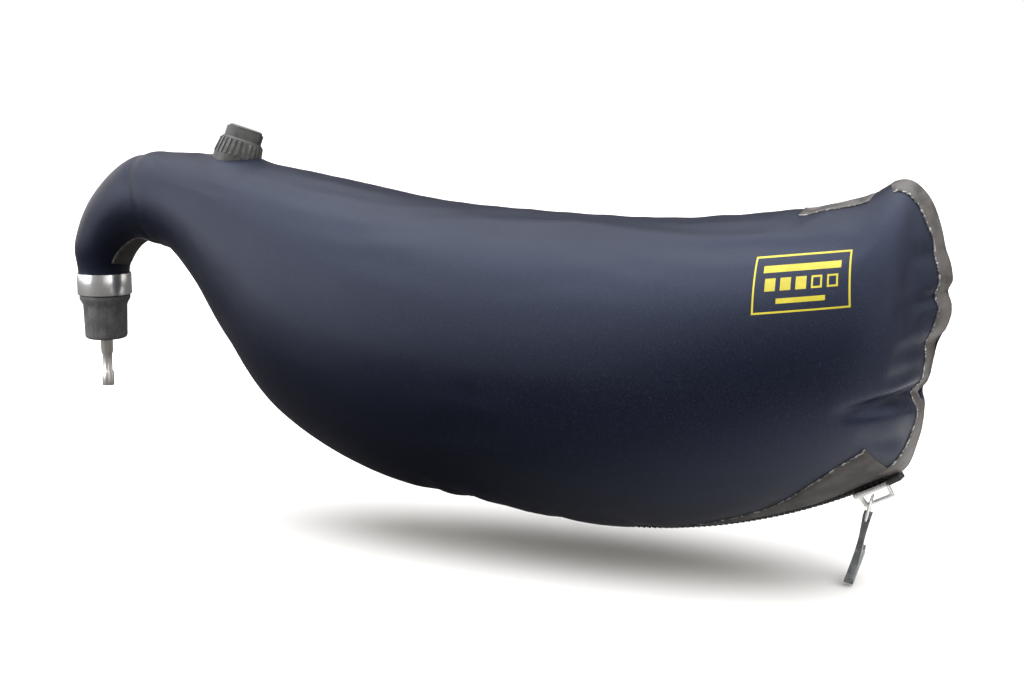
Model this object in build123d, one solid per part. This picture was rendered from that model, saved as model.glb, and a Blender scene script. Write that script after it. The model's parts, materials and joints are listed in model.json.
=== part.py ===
"""Inflated pipe bag with a swan neck: two fabric panels, a zipped belly, a blowpipe collar,
and a clamped rubber bung that carries an air valve. Millimetres, +Z up.

The origin is the centre of the neck's mouth. The neck's mouth opens down (-Z), the bag runs
towards +X, and the panels meet on the plane Y = 0.
"""
from build123d import *
from math import sin, cos, radians, sqrt, atan2, degrees
import os

# ---- Driving dimensions: the bag ------------------------------------------------------
FABRIC = 1.2                 # wall of the coated fabric
MOUTH_R = 16.2               # outside radius of the straight neck mouth
MOUTH_LEN = 14.5             # straight length of the mouth, under the clamp
BODY_LEN = 534.0             # mouth centre to the rear seam
BODY_TOP = 92.0              # highest point of the back above the mouth
BODY_DROP = 110.0            # lowest point of the belly below the mouth
BODY_WIDTH = 154.0           # widest point, panel to panel
SEAM_HALF = 2.2              # half thickness of the pressed rear seam
ARC_POINTS = 7               # points along each half oval of the bag
STEPS = 3                    # rings between two stations

# ---- Tapes and print ------------------------------------------------------------------
TAPE = 0.8                   # thickness of a seam tape
GLUE = 0.2                   # glue line between two layers
PRINT = 0.4                  # thickness of the transfer film
REAR_TAPE_WIDTH = 8.0        # half width of the tape along the back's end
BACK_TAPE = 80.0             # how far that tape runs forward from the rear
INNER_TAPE_WIDTH = 16.0      # tapes inside the bag
NECK_TAPE_WIDTH = 22.0       # tape on the inside of the neck's bend
LABEL_X = 470.5              # label centre, along the bag
LABEL_Z = 37.0
LABEL_W = 46.8
LABEL_H = 27.0
LABEL_LINE = 1.0
LABEL_TILT = 6.4             # degrees, nose up towards the rear

# ---- Zip ------------------------------------------------------------------------------
ZIP_RADIUS = 319.0           # the belly line is one arc
ZIP_LOW_X = 348.0            # where the belly line is lowest
ZIP_REAR_ANGLE = 29.6        # closed end, degrees from straight down
ZIP_FRONT_ANGLE = -8.0       # other end
TOOTH_PITCH = 3.2            # from one tooth to the next on one side
TOOTH_LEN = 1.3
TOOTH_REACH = 3.0            # tooth size across the chain
TOOTH_HEIGHT = 2.6
TOOTH_SINK = 0.4             # how far a tooth stands inside the belly line
CHAIN_GAP = 2.0              # half distance between the two tape edges
SLOT_HALF = 3.5              # half width of the slot in the fabric
ZIP_TAPE_WIDTH = 25.0        # half width of the zip, chain to tape edge
SLIDER_LEN = 19.0
SLIDER_WIDTH = 13.0
SLIDER_WALL = 1.6
SLIDER_CLEAR = 0.5
BRIDGE_DROP = 5.4            # slider plate to the centre of the bridge bar
BRIDGE_BAR = 2.0             # bar thickness of the bridge
BRIDGE_RAKE = 1.4            # slope of the bridge's front leg
STOP_LEN = 7.0
STOP_HALF = 5.0              # half width of the dock and the end stop

# ---- Pull -----------------------------------------------------------------------------
RING_WIRE = 1.6              # wire diameter
RING_LEN = 12.5              # between wire centres
RING_WIDTH = 8.4             # between wire centres
RING_PLAY = 0.8              # gap between the ring and the bridge bar
RING_PLACE = -4.5            # ring's place on the bridge bar, from the slider's middle
HANDLE_LEN = 35.0            # eye centre to the foot of the T
HANDLE_BAR = 30.0            # width of the T
HANDLE_HEAD = 5.0            # width of the shank at the eye
HANDLE_WAIST = 3.8           # width of the shank at its narrowest
HANDLE_THICK = 4.6           # thickness at the eye
HANDLE_FOOT = 6.0            # height of the T's bar
EYE_PLAY = 0.35
HANG_BACK = 14.0             # lean of the hanging pull towards the neck, degrees
HANG_SIDE = 20.0             # lean of the hanging pull away from the label side

# ---- Blowpipe collar ------------------------------------------------------------------
COLLAR_X = 105.0
COLLAR_LEAN_X = 14.0
COLLAR_LEAN_Y = 13.0
COLLAR_BASE_R = 14.4
COLLAR_SHOULDER_R = 12.8
COLLAR_RING_R = 11.4
COLLAR_HEIGHT = 17.4
COLLAR_STEP = 10.4
COLLAR_ROOT_R = 11.0         # stub through the fabric
COLLAR_ROOT = 14.0           # its depth below the base
COLLAR_BORE_R = 8.0
HOLE_PLAY = 0.1              # round the stub, in the fabric
BACKING_R = 17.0             # ring welded inside the bag
BACKING = 2.0
COLLAR_RIBS = 26
RIB_DEPTH = 0.5
RIB_WIDTH = 1.7
STOPPER_CAP_R = 10.4
STOPPER_CAP = 1.6
STOPPER_DEPTH = 14.0
STOPPER_PLAY = 0.08

# ---- Clamp ----------------------------------------------------------------------------
BAND = 0.8
BAND_HEIGHT = 13.6
BAND_GAP = 0.2
BAND_RIM = 0.4               # clamp's lower edge above the mouth
HOUSING_LEN = 13.0
HOUSING_DEPTH = 8.6
HOUSING_HEIGHT = 11.0
SCREW_R = 3.4
SCREW_HEAD_R = 4.3
SCREW_HEAD = 3.4
SCREW_PLAY = 0.1
THREADS = 6
THREAD_PITCH = 2.0
CLAMP_TURN = 115.0           # direction of the housing round the neck, degrees from +X

# ---- Bung and valve -------------------------------------------------------------------
BUNG_PLAY = 0.1
BUNG_TOP = 13.0              # height of the bung inside the mouth
BUNG_FLANGE_R = 16.1
BUNG_SHOULDER_R = 14.0
BUNG_FOOT_R = 13.4
BUNG_DROP = 28.5             # length below the mouth
STEM_R = 3.85
STEM_WAIST_R = 3.0
STEM_DROP = 31.0             # length below the bung
STEM_FOOT = 8.5
STEM_SHOULDER = 9.0
STEM_PLAY = 0.05
NUT_HEIGHT = 3.2
NUT_AF = 11.0
WASHER = 1.0
WASHER_R = 8.5
AIRWAY_R = 1.6
CORE_SEAT_R = 2.2
CORE_LEN = 11.0
PIN_R = 0.5
PIN_HEAD_R = 1.2
PIN_TRAVEL = 1.5
SPRING_WIRE = 0.36
SPRING_R = 1.15

os.makedirs("parts", exist_ok=True)


def save(node, shape):
    """Write one sub-part, as its solids."""
    solids = shape.solids()
    export_step(solids[0] if len(solids) == 1 else Compound(solids), f"parts/{node}.step")


# ---- The bag's surface: ovals on a fan of planes, from the neck's mouth to the rear seam ----
ARC_Z = ZIP_RADIUS - BODY_DROP                     # height of the belly arc's centre


def belly(x):
    """Height of the belly line, which is one arc over the zip."""
    return ARC_Z - sqrt(ZIP_RADIUS ** 2 - (x - ZIP_LOW_X) ** 2)


def stations():
    """(top x, top z, bottom x, bottom z, half width) of each oval that shapes the bag."""
    up, down, wide, run = BODY_TOP, BODY_DROP, BODY_WIDTH / 2, BODY_LEN
    rows = [
        (-MOUTH_R, 0.0, MOUTH_R, 0.0, MOUTH_R),
        (-MOUTH_R, MOUTH_LEN, MOUTH_R, MOUTH_LEN, MOUTH_R),
        (-16.5, 0.38 * up, 22.5, 0.31 * up, 0.26 * wide),
        (-1.5, 0.70 * up, 36.0, 0.40 * up, 0.30 * wide),
        (28.0, 0.96 * up, 46.0, 0.38 * up, 0.34 * wide),
        (62.0, 1.00 * up, 65.0, 0.32 * up, 0.40 * wide),
        (105.0, 0.97 * up, 87.0, 0.08 * up, 0.52 * wide),
        (0.272 * run, 0.91 * up, 0.210 * run, -0.24 * down, 0.68 * wide),
        (0.356 * run, 0.83 * up, 0.281 * run, -0.61 * down, 0.84 * wide),
        (0.459 * run, 0.735 * up, 0.403 * run, -0.87 * down, 0.96 * wide),
    ]
    for top, bottom, height, width in ((0.581, 0.554, 0.690, 1.00), (0.712, 0.704, 0.675, 1.00),
                                       (0.824, 0.824, 0.730, 0.92), (0.908, 0.914, 0.815, 0.76),
                                       (0.951, 0.960, 0.925, 0.57)):
        rows.append((top * run, height * up, bottom * run, belly(bottom * run), width * wide))
    rows += [
        (0.972 * run, 0.86 * up, 0.973 * run, -0.44 * down, 0.40 * wide),
        (0.985 * run, 0.71 * up, 0.985 * run, -0.09 * down, 0.26 * wide),
        (0.995 * run, 0.54 * up, 0.995 * run, 0.04 * down, 0.13 * wide),
        (1.000 * run, 0.39 * up, 1.000 * run, 0.17 * down, SEAM_HALF),
    ]
    return rows


ROWS = stations()
MOUTH_ROW, NECK_ROW, ZIP_ROW, PATCH_ROW, REAR_ROW = 0, 4, 10, 14, 15   # stations by name
LAST_ROW = len(ROWS) - 1


def oval_at(u):
    """The oval at place u, counted in stations, on a smooth curve through them."""
    i = min(int(u), LAST_ROW - 1)
    f = u - i
    before, here, after, later = (ROWS[min(max(i + k, 0), LAST_ROW)] for k in (-1, 0, 1, 2))
    if i == MOUTH_ROW:
        before, later = here, after                  # the mouth is a straight tube
    out = []
    for p0, p1, p2, p3 in zip(before, here, after, later):
        if i == MOUTH_ROW:
            out.append(p1 + (p2 - p1) * f)
            continue
        slope_in, slope_out = (p2 - p0) / 2, (p3 - p1) / 2
        if i == MOUTH_ROW + 1:
            slope_in = p2 - p1 if p0 != p1 else 0.0
        out.append((2 * f ** 3 - 3 * f ** 2 + 1) * p1 + (f ** 3 - 2 * f ** 2 + f) * slope_in
                   + (3 * f ** 2 - 2 * f ** 3) * p2 + (f ** 3 - f ** 2) * slope_out)
    if ZIP_ROW <= u <= PATCH_ROW:
        out[3] = belly(out[2])
    return out


def place(u_x, side):
    """Place u where the top (side 0) or bottom (side 2) line reaches the given x."""
    low, high = float(NECK_ROW), float(LAST_ROW)
    for _ in range(40):
        mid = (low + high) / 2
        if oval_at(mid)[side] < u_x:
            low = mid
        else:
            high = mid
    return (low + high) / 2


def on_bag(u, angle, grow):
    """Point at place u and angle round the oval (0 far side, 90 top, 180 near side, 270 bottom)."""
    tx, tz, bx, bz, half_w = oval_at(u)
    half_h = sqrt((tx - bx) ** 2 + (tz - bz) ** 2) / 2
    v = (half_h + grow) * sin(radians(angle)) / (2 * half_h)
    return Vector((tx + bx) / 2 + v * (tx - bx), (half_w + grow) * cos(radians(angle)),
                  (tz + bz) / 2 + v * (tz - bz))


def band_section(u, start, end, inside, outside):
    """Closed outline of a curved band: an outer arc, an inner arc and two ends."""
    count = ARC_POINTS if end - start <= 180 else 2 * ARC_POINTS - 1
    turns = [start + (end - start) * i / (count - 1) for i in range(count)]
    even = [i / (count - 1) for i in range(count)]
    outer = [on_bag(u, t, outside) for t in turns]
    inner = [on_bag(u, t, inside) for t in reversed(turns)]
    return Wire([Edge.make_spline(outer, parameters=even), Edge.make_line(outer[-1], inner[0]),
                 Edge.make_spline(inner, parameters=even), Edge.make_line(inner[-1], outer[0])])


def band(first, last, start, end, inside, outside):
    """Band of fabric or tape on the bag's surface, between two places and two angles.

    start and end are angles, or functions that give the angle at a place.
    """
    def angle(limit, u):
        return limit(u) if callable(limit) else limit
    inner_rings = [i / STEPS for i in range(int(first * STEPS) + 1, int(last * STEPS + 0.999))]
    rings = [first] + [u for u in inner_rings if first + 0.04 < u < last - 0.04] + [last]
    wires = [band_section(u, angle(start, u), angle(end, u), inside, outside) for u in rings]
    return Solid.make_loft(wires, ruled=True)


def reach(width, centre=270):
    """Angle function: a band edge at a fixed distance in Y from the mid-plane.

    A positive width turns on from the centre line, a negative one back from it.
    """
    def angle(u):
        half_w = oval_at(u)[4]
        swing = degrees(atan2(abs(width), sqrt(max(half_w ** 2 - width ** 2, 1.0))))
        return centre + (swing if width > 0 else -swing)
    return angle


def zip_x(angle):
    return ZIP_LOW_X + ZIP_RADIUS * sin(radians(angle))


def fuse(parts):
    return parts[0].fuse(*parts[1:]) if len(parts) > 1 else parts[0]


def ring_place(u):
    """The nearest ring of the fabric, where a tape's end can lie flat on it."""
    return round(u * STEPS) / STEPS


def filled(first, last, grow):
    """The bag's whole inside between two places, as a solid for cutting."""
    wires = []
    count = 2 * ARC_POINTS
    even = [i / count for i in range(count + 1)]
    for k in range(int(first * STEPS), int(last * STEPS) + 1):
        ring = [on_bag(k / STEPS, 360 * i / count, grow) for i in range(count)]
        wires.append(Wire([Edge.make_spline(ring, parameters=even, periodic=True)]))
    return Solid.make_loft(wires, ruled=True)


ZIP_TAPE = (ring_place(place(zip_x(ZIP_FRONT_ANGLE), 2) - 0.3), PATCH_ROW + 1 / STEPS)
CORNER = (PATCH_ROW - 1 / STEPS, REAR_ROW)
NECK_JOINT = (NECK_ROW - 1 / STEPS, NECK_ROW + 1 / STEPS)
LAYER_1 = (GLUE, GLUE + TAPE)                        # tapes on the outside of the fabric
LAYER_2 = (2 * GLUE + TAPE, 2 * GLUE + 2 * TAPE)     # a patch over a tape
INSIDE = (-FABRIC - GLUE - TAPE, -FABRIC - GLUE)     # tapes on the inside
SLIT = (-89.4, 269.4)                                # a rolled piece: its edges meet below


# ---- Blowpipe collar: rubber grommet that stands on the back of the neck ----------------
COLLAR_PLACE = place(COLLAR_X, 0)
COLLAR_BASE = on_bag(COLLAR_PLACE, 90, 0)
LEAN_X, LEAN_Y = sin(radians(COLLAR_LEAN_X)), sin(radians(COLLAR_LEAN_Y))
COLLAR_AXIS = Vector(LEAN_X, LEAN_Y, sqrt(1 - LEAN_X ** 2 - LEAN_Y ** 2))
COLLAR_PLANE = Plane(origin=COLLAR_BASE, x_dir=(0, 1, 0), z_dir=COLLAR_AXIS)
AROUND_COLLAR = (NECK_ROW, 9)                        # stations that the collar stands between


def rod(radius, low, high):
    """Round bar on the local Z axis."""
    return Pos(0, 0, (low + high) / 2) * Cylinder(radius, high - low)


def tube(outer, inner, low, high):
    return rod(outer, low, high) - rod(inner, low - 1, high + 1)


def turned(profile):
    """Solid of revolution about local Z from a list of (radius, height) points."""
    points = [(r, 0, z) for r, z in profile]
    face = Face(Wire(Polyline(*points, points[0]).edges()))
    return revolve(face, Axis.Z)


def collar():
    skirt = turned([(0, -COLLAR_ROOT), (COLLAR_BASE_R, -COLLAR_ROOT), (COLLAR_BASE_R, 0),
                    (COLLAR_SHOULDER_R, COLLAR_STEP), (COLLAR_RING_R, COLLAR_STEP + 1.2),
                    (COLLAR_RING_R, COLLAR_HEIGHT), (0, COLLAR_HEIGHT)])
    rib_angle = degrees(atan2(COLLAR_BASE_R - COLLAR_SHOULDER_R, COLLAR_STEP))
    for i in range(COLLAR_RIBS):
        rib = Box(2 * RIB_DEPTH, RIB_WIDTH, COLLAR_STEP - 1.0)
        lean = Pos((COLLAR_BASE_R + COLLAR_SHOULDER_R) / 2, 0, COLLAR_STEP / 2) * Rot(0, -rib_angle, 0)
        skirt += Rot(0, 0, 360 * i / COLLAR_RIBS) * lean * rib
    skirt = (COLLAR_PLANE * skirt) - filled(*AROUND_COLLAR, GLUE)
    body = skirt + COLLAR_PLANE * rod(COLLAR_ROOT_R, -COLLAR_ROOT, COLLAR_STEP)
    return body - COLLAR_PLANE * rod(COLLAR_BORE_R, -COLLAR_ROOT - 1, COLLAR_HEIGHT + 1)


def backing_ring():
    ring = COLLAR_PLANE * tube(BACKING_R, COLLAR_ROOT_R + HOLE_PLAY, -COLLAR_ROOT, 2)
    under = -FABRIC - GLUE
    return (ring & filled(*AROUND_COLLAR, under)) - filled(*AROUND_COLLAR, under - BACKING)


def stopper():
    plug = rod(COLLAR_BORE_R - STOPPER_PLAY, COLLAR_HEIGHT - STOPPER_DEPTH, COLLAR_HEIGHT)
    cap = turned([(0, COLLAR_HEIGHT), (STOPPER_CAP_R, COLLAR_HEIGHT),
                  (STOPPER_CAP_R, COLLAR_HEIGHT + STOPPER_CAP * 0.5),
                  (STOPPER_CAP_R - 1.2, COLLAR_HEIGHT + STOPPER_CAP), (0, COLLAR_HEIGHT + STOPPER_CAP)])
    cap -= rod(COLLAR_BORE_R - 2.5, COLLAR_HEIGHT - STOPPER_DEPTH + 3, COLLAR_HEIGHT - 2)
    plug -= rod(COLLAR_BORE_R - 2.5, COLLAR_HEIGHT - STOPPER_DEPTH - 1, COLLAR_HEIGHT - 2.5)
    return COLLAR_PLANE * (plug + cap)


# ---- Fabric and tapes -------------------------------------------------------------------
def panel(side):
    """One panel: half of the body, from the neck joint to the rear seam, slotted for the zip."""
    first, last = (90, 270) if side == "near" else (-90, 90)
    half = band(NECK_ROW, LAST_ROW, first, last, -FABRIC, 0)
    ends = turn_of(STOP_LEN + GLUE)
    slot = arc_block(ZIP_FRONT_ANGLE - ends, ZIP_REAR_ANGLE + ends, -6, 3, -SLOT_HALF, SLOT_HALF)
    hole = COLLAR_PLANE * rod(COLLAR_ROOT_R + HOLE_PLAY, -COLLAR_ROOT - 5, COLLAR_HEIGHT)
    return half - slot - hole


def corner_patch():
    """Patch over the tapes at the closed end, cut out round the dock."""
    patch = band(*CORNER, 212, 328, *LAYER_2)
    ends = turn_of(STOP_LEN + GLUE)
    edge = STOP_HALF + GLUE
    return patch - arc_block(ZIP_REAR_ANGLE - ends, ZIP_REAR_ANGLE + ends, -6, 9, -edge, edge)


def label():
    """Transfer film: a frame round a five-step scale, with the first three steps filled."""
    frame = Rectangle(LABEL_W, LABEL_H) - Rectangle(LABEL_W - 2 * LABEL_LINE, LABEL_H - 2 * LABEL_LINE)
    marks = frame + Pos(0, LABEL_H * 0.27) * Rectangle(LABEL_W * 0.8, LABEL_H * 0.12)
    marks += Pos(0, -LABEL_H * 0.29) * Rectangle(LABEL_W * 0.5, LABEL_H * 0.09)
    for i in range(5):
        step = Rectangle(LABEL_W * 0.11, LABEL_H * 0.22)
        if i > 2:
            step -= Rectangle(LABEL_W * 0.11 - 2 * LABEL_LINE, LABEL_H * 0.22 - 2 * LABEL_LINE)
        marks += Pos((i - 2) * LABEL_W * 0.16, 0) * step
    sheet_plane = Plane(origin=(LABEL_X, 0, LABEL_Z), x_dir=(1, 0, 0), z_dir=(0, -1, 0))
    stamp = extrude(sheet_plane * Rot(0, 0, LABEL_TILT) * marks, BODY_WIDTH)
    film = band(ZIP_ROW + 1, REAR_ROW, 125, 215, GLUE, GLUE + PRINT)
    return stamp & film


# ---- Zip: teeth, dock, stop and slider on one arc ---------------------------------------
def arc_point(angle, radius, y):
    a = radians(angle)
    return Vector(ZIP_LOW_X + radius * sin(a), y, ARC_Z - radius * cos(a))


def arc_block(first, last, low, high, y_low, y_high):
    """Block that follows the belly arc: two angles, two heights over the arc, two Y values."""
    middle = (first + last) / 2
    inner, outer = ZIP_RADIUS + low, ZIP_RADIUS + high
    a, b, c = (arc_point(t, outer, y_low) for t in (first, middle, last))
    d, e, f = (arc_point(t, inner, y_low) for t in (last, middle, first))
    face = Face(Wire([Edge.make_three_point_arc(a, b, c), Edge.make_line(c, d),
                      Edge.make_three_point_arc(d, e, f), Edge.make_line(f, a)]))
    return Solid.extrude(face, Vector(0, y_high - y_low, 0))


def turn_of(length):
    """Angle that a length takes on the belly arc."""
    return degrees(length / ZIP_RADIUS)


TOOTH_TOP = TOOTH_HEIGHT - TOOTH_SINK
TAPE_TOP = LAYER_1[1]
SLIDER_LOW = TOOTH_TOP + SLIDER_CLEAR
SLIDER_TOP = SLIDER_LOW + SLIDER_WALL
SLIDER_ANGLE = ZIP_REAR_ANGLE - turn_of(SLIDER_LEN / 2 + SLIDER_CLEAR)
ZIP_TRAVEL = SLIDER_ANGLE - turn_of(SLIDER_LEN / 2 + SLIDER_CLEAR) - ZIP_FRONT_ANGLE


def teeth(side):
    near = side == "near"
    low, high = (-CHAIN_GAP, TOOTH_REACH - CHAIN_GAP) if near else (CHAIN_GAP - TOOTH_REACH, CHAIN_GAP)
    step, half = turn_of(TOOTH_PITCH), turn_of(TOOTH_LEN) / 2
    first = ZIP_FRONT_ANGLE + step * (0.5 if near else 1.0)
    row = []
    while first + half < ZIP_REAR_ANGLE:
        row.append(arc_block(first - half, first + half, -TOOTH_SINK, TOOTH_TOP, low, high))
        first += step
    return Compound(row)


def chain_end(first, last, height):
    """Moulded end of the chain: a block over the tapes with a tongue between them."""
    low, tongue = TAPE_TOP + GLUE, CHAIN_GAP - GLUE
    block = arc_block(first, last, low, height, -STOP_HALF, STOP_HALF)
    return block.fuse(arc_block(first, last, -TOOTH_SINK, low, -tongue, tongue))


def slider_frame():
    """Plane at the slider: X along the zip towards the rear, Z out of the belly."""
    a = radians(SLIDER_ANGLE)
    origin = arc_point(SLIDER_ANGLE, ZIP_RADIUS, 0)
    return Plane(origin=origin, x_dir=(cos(a), 0, sin(a)), z_dir=(sin(a), 0, -cos(a)))


BRIDGE_HEIGHT = SLIDER_TOP + BRIDGE_DROP


def slider():
    half_turn = turn_of(SLIDER_LEN / 2)
    span = (SLIDER_ANGLE - half_turn, SLIDER_ANGLE + half_turn)
    edge = SLIDER_WIDTH / 2
    parts = [arc_block(*span, SLIDER_LOW, SLIDER_TOP, -edge, edge)]
    for low, high in ((-edge, -edge + 1.2), (edge - 1.2, edge)):
        parts.append(arc_block(*span, TAPE_TOP + SLIDER_CLEAR, SLIDER_LOW, low, high))
    end, bar = SLIDER_LEN / 2 - 0.3, BRIDGE_BAR / 2
    root = SLIDER_TOP - 0.6
    outline = Polyline((-end, root), (-end + BRIDGE_RAKE, BRIDGE_HEIGHT + bar), (end, BRIDGE_HEIGHT + bar),
                       (end, root), (end - 2 * bar, root), (end - 2 * bar, BRIDGE_HEIGHT - bar),
                       (-end + BRIDGE_RAKE + 2 * bar, BRIDGE_HEIGHT - bar), (-end + 2.3 * bar, root),
                       (-end, root))
    frame = slider_frame()
    loop_plane = Plane(origin=frame.origin, x_dir=frame.x_dir, z_dir=(0, 1, 0))
    loop = extrude(make_face(outline), BRIDGE_BAR / 2, both=True)
    parts.append((loop_plane * loop).solid())
    return fuse(parts)


# ---- Pull: a wire ring on the bridge, and a T handle on the ring ------------------------
HANG = Vector(-sin(radians(HANG_BACK)), sin(radians(HANG_SIDE)) * cos(radians(HANG_BACK)),
              -cos(radians(HANG_SIDE)) * cos(radians(HANG_BACK)))
ACROSS = Vector(0, cos(radians(HANG_SIDE)), sin(radians(HANG_SIDE)))
BAR_DIR = slider_frame().x_dir
RING_PIVOT = slider_frame().from_local_coords(Vector(RING_PLACE, 0, BRIDGE_HEIGHT))
BAR_TO_HANG = abs(BAR_DIR.cross(HANG).length)
RING_RISE = (BRIDGE_BAR / 2 + RING_PLAY + RING_WIRE / 2) / BAR_TO_HANG
EYE = RING_PIVOT + HANG * (RING_LEN - RING_RISE)
PULL_PLANE = Plane(origin=EYE, x_dir=ACROSS, z_dir=HANG.cross(ACROSS))


def ring():
    """Rounded wire ring in the hanging plane, its lower bar through the handle's eye."""
    loop = Pos(0, RING_LEN / 2) * RectangleRounded(RING_WIDTH, RING_LEN, RING_WIRE)
    path = loop.wire()
    start = path.edges()[0]
    wire = Plane(origin=start @ 0, z_dir=start % 0) * Circle(RING_WIRE / 2)
    return PULL_PLANE * sweep(wire, path=path)


def handle():
    """T handle: a waisted shank that flares into the bar, thinner at its middle."""
    head, waist, bar = HANDLE_HEAD / 2, HANDLE_WAIST / 2, HANDLE_BAR / 2
    top, foot = 2.4, -HANDLE_LEN
    shoulder = foot + HANDLE_FOOT
    right = [Edge.make_line((-head, top), (head, top)),
             Edge.make_spline([(head, top), (waist + 0.4, -8), (waist, -17), (bar * 0.35, shoulder + 3.5),
                               (bar, shoulder - 0.6)]),
             Edge.make_line((bar, shoulder - 0.6), (bar - 0.8, foot)),
             Edge.make_line((bar - 0.8, foot), (-bar + 0.8, foot)),
             Edge.make_line((-bar + 0.8, foot), (-bar, shoulder - 0.6)),
             Edge.make_spline([(-bar, shoulder - 0.6), (-bar * 0.35, shoulder + 3.5), (-waist, -17),
                               (-waist - 0.4, -8), (-head, top)])]
    front = extrude(Face(Wire(right)), HANDLE_THICK, both=True)
    thick, thin = HANDLE_THICK / 2, HANDLE_WAIST * 0.42
    side = [Edge.make_line((-thick, top), (thick, top)),
            Edge.make_spline([(thick, top), (thin, -14), (thick + 0.3, foot)]),
            Edge.make_line((thick + 0.3, foot), (-thick - 0.3, foot)),
            Edge.make_spline([(-thick - 0.3, foot), (-thin, -14), (-thick, top)])]
    profile = Rot(0, 90, 0) * extrude(Face(Wire(side)), HANDLE_BAR, both=True)
    shape = front & profile
    shape -= Rot(0, 90, 0) * Cylinder(RING_WIRE / 2 + EYE_PLAY, HANDLE_BAR)
    return PULL_PLANE * shape


# ---- Clamp round the neck's mouth -------------------------------------------------------
BAND_IN = MOUTH_R + BAND_GAP
BAND_OUT = BAND_IN + BAND
HOUSING_MID = BAND_OUT + GLUE + HOUSING_DEPTH / 2
CLAMP_SIDE = (cos(radians(CLAMP_TURN)), sin(radians(CLAMP_TURN)), 0)
CLAMP_PLANE = Plane(origin=(0, 0, BAND_RIM + BAND_HEIGHT / 2), x_dir=CLAMP_SIDE, z_dir=(0, 0, 1))


def clamp_band():
    return tube(BAND_OUT, BAND_IN, BAND_RIM, BAND_RIM + BAND_HEIGHT)


def screw_bar(radius, low, high):
    """Round bar along the clamp screw's own axis."""
    return Pos(HOUSING_MID, 0, 0) * Rot(-90, 0, 0) * rod(radius, low, high)


def clamp_housing():
    box = Pos(HOUSING_MID, 0, 0) * Box(HOUSING_DEPTH, HOUSING_LEN, HOUSING_HEIGHT)
    saddle = Cylinder(BAND_OUT + GLUE, BAND_HEIGHT)
    return CLAMP_PLANE * (box - saddle - screw_bar(SCREW_R + SCREW_PLAY, -HOUSING_LEN, HOUSING_LEN))


def clamp_screw():
    half = HOUSING_LEN / 2
    body = screw_bar(SCREW_R, -half - 1.0, half + 0.6)
    for i in range(THREADS):
        low = -half + 1.2 + i * THREAD_PITCH
        groove = screw_bar(SCREW_R + 1, low, low + 0.8) - screw_bar(SCREW_R - 0.5, low - 1, low + 2)
        body -= groove
    body += screw_bar(SCREW_HEAD_R, half + 0.6, half + 0.6 + SCREW_HEAD)
    slot = Pos(HOUSING_MID, half + 0.6 + SCREW_HEAD, 0) * Box(1.2, 2.4, 3 * SCREW_HEAD_R)
    return CLAMP_PLANE * (body - slot)


# ---- Bung and air valve -----------------------------------------------------------------
BUNG_FOOT = -BUNG_DROP
STEM_FOOT_Z = BUNG_FOOT - STEM_DROP
STEM_BORE_R = STEM_R + STEM_PLAY
WASHER_TOP = BUNG_TOP + WASHER
NUT_TOP = WASHER_TOP + NUT_HEIGHT
CORE_LOW = STEM_FOOT_Z + 2.6
SPRING_TOP = CORE_LOW + 5.0
PIN_HEAD_Z = STEM_FOOT_Z + 0.8


def bung():
    shape = turned([(0, BUNG_TOP), (MOUTH_R - FABRIC - BUNG_PLAY - 0.6, BUNG_TOP),
                    (MOUTH_R - FABRIC - BUNG_PLAY, BUNG_TOP - 1.0), (MOUTH_R - FABRIC - BUNG_PLAY, -GLUE),
                    (BUNG_FLANGE_R, -GLUE), (BUNG_FLANGE_R, -2.6), (BUNG_SHOULDER_R, -6.4),
                    (BUNG_FOOT_R, BUNG_FOOT + 2.0), (BUNG_FOOT_R - 0.6, BUNG_FOOT + 0.6),
                    (BUNG_FOOT_R - 2.0, BUNG_FOOT), (0, BUNG_FOOT)])
    return shape - rod(STEM_BORE_R, BUNG_FOOT - 1, BUNG_TOP + 1)


def valve_stem():
    waist_high, waist_low = BUNG_FOOT - STEM_SHOULDER, STEM_FOOT_Z + STEM_FOOT
    shape = turned([(0, NUT_TOP + 2), (STEM_R, NUT_TOP + 2), (STEM_R, waist_high),
                    (STEM_WAIST_R, waist_high - 2), (STEM_WAIST_R, waist_low + 1.5), (STEM_R, waist_low),
                    (STEM_R, STEM_FOOT_Z), (0, STEM_FOOT_Z)])
    shape -= rod(AIRWAY_R, STEM_FOOT_Z - 1, NUT_TOP + 3)
    return shape - rod(CORE_SEAT_R, STEM_FOOT_Z - 1, CORE_LOW + CORE_LEN)


def valve_core():
    """Core barrel, screwed up into the stem, with a pocket for the spring."""
    shape = rod(CORE_SEAT_R - STEM_PLAY, CORE_LOW, CORE_LOW + CORE_LEN - GLUE)
    shape -= rod(SPRING_R + SPRING_WIRE, CORE_LOW - 1, SPRING_TOP)
    shape -= rod(PIN_R + STEM_PLAY, CORE_LOW, CORE_LOW + CORE_LEN)
    return shape - rod(CORE_SEAT_R - 0.7, CORE_LOW + CORE_LEN - 4.6, CORE_LOW + CORE_LEN)


def valve_pin():
    """Pin with a thumb head at the mouth and a seal disc above the barrel's floor."""
    seat = CORE_LOW + CORE_LEN - 4.6
    shape = rod(PIN_HEAD_R, PIN_HEAD_Z, PIN_HEAD_Z + 0.8) + rod(PIN_R, PIN_HEAD_Z, seat + 1.0)
    return shape + rod(CORE_SEAT_R - 0.9, seat + 0.05, seat + 1.0)


def valve_spring():
    low, high = PIN_HEAD_Z + 0.8 + SPRING_WIRE / 2 + 0.05, SPRING_TOP - SPRING_WIRE / 2 - 0.05
    coil = Helix(pitch=(high - low) / 5, height=high - low, radius=SPRING_R)
    wire = Plane(origin=coil @ 0, z_dir=coil % 0) * Circle(SPRING_WIRE / 2)
    return Pos(0, 0, low) * sweep(wire, path=coil, is_frenet=True)


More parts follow.
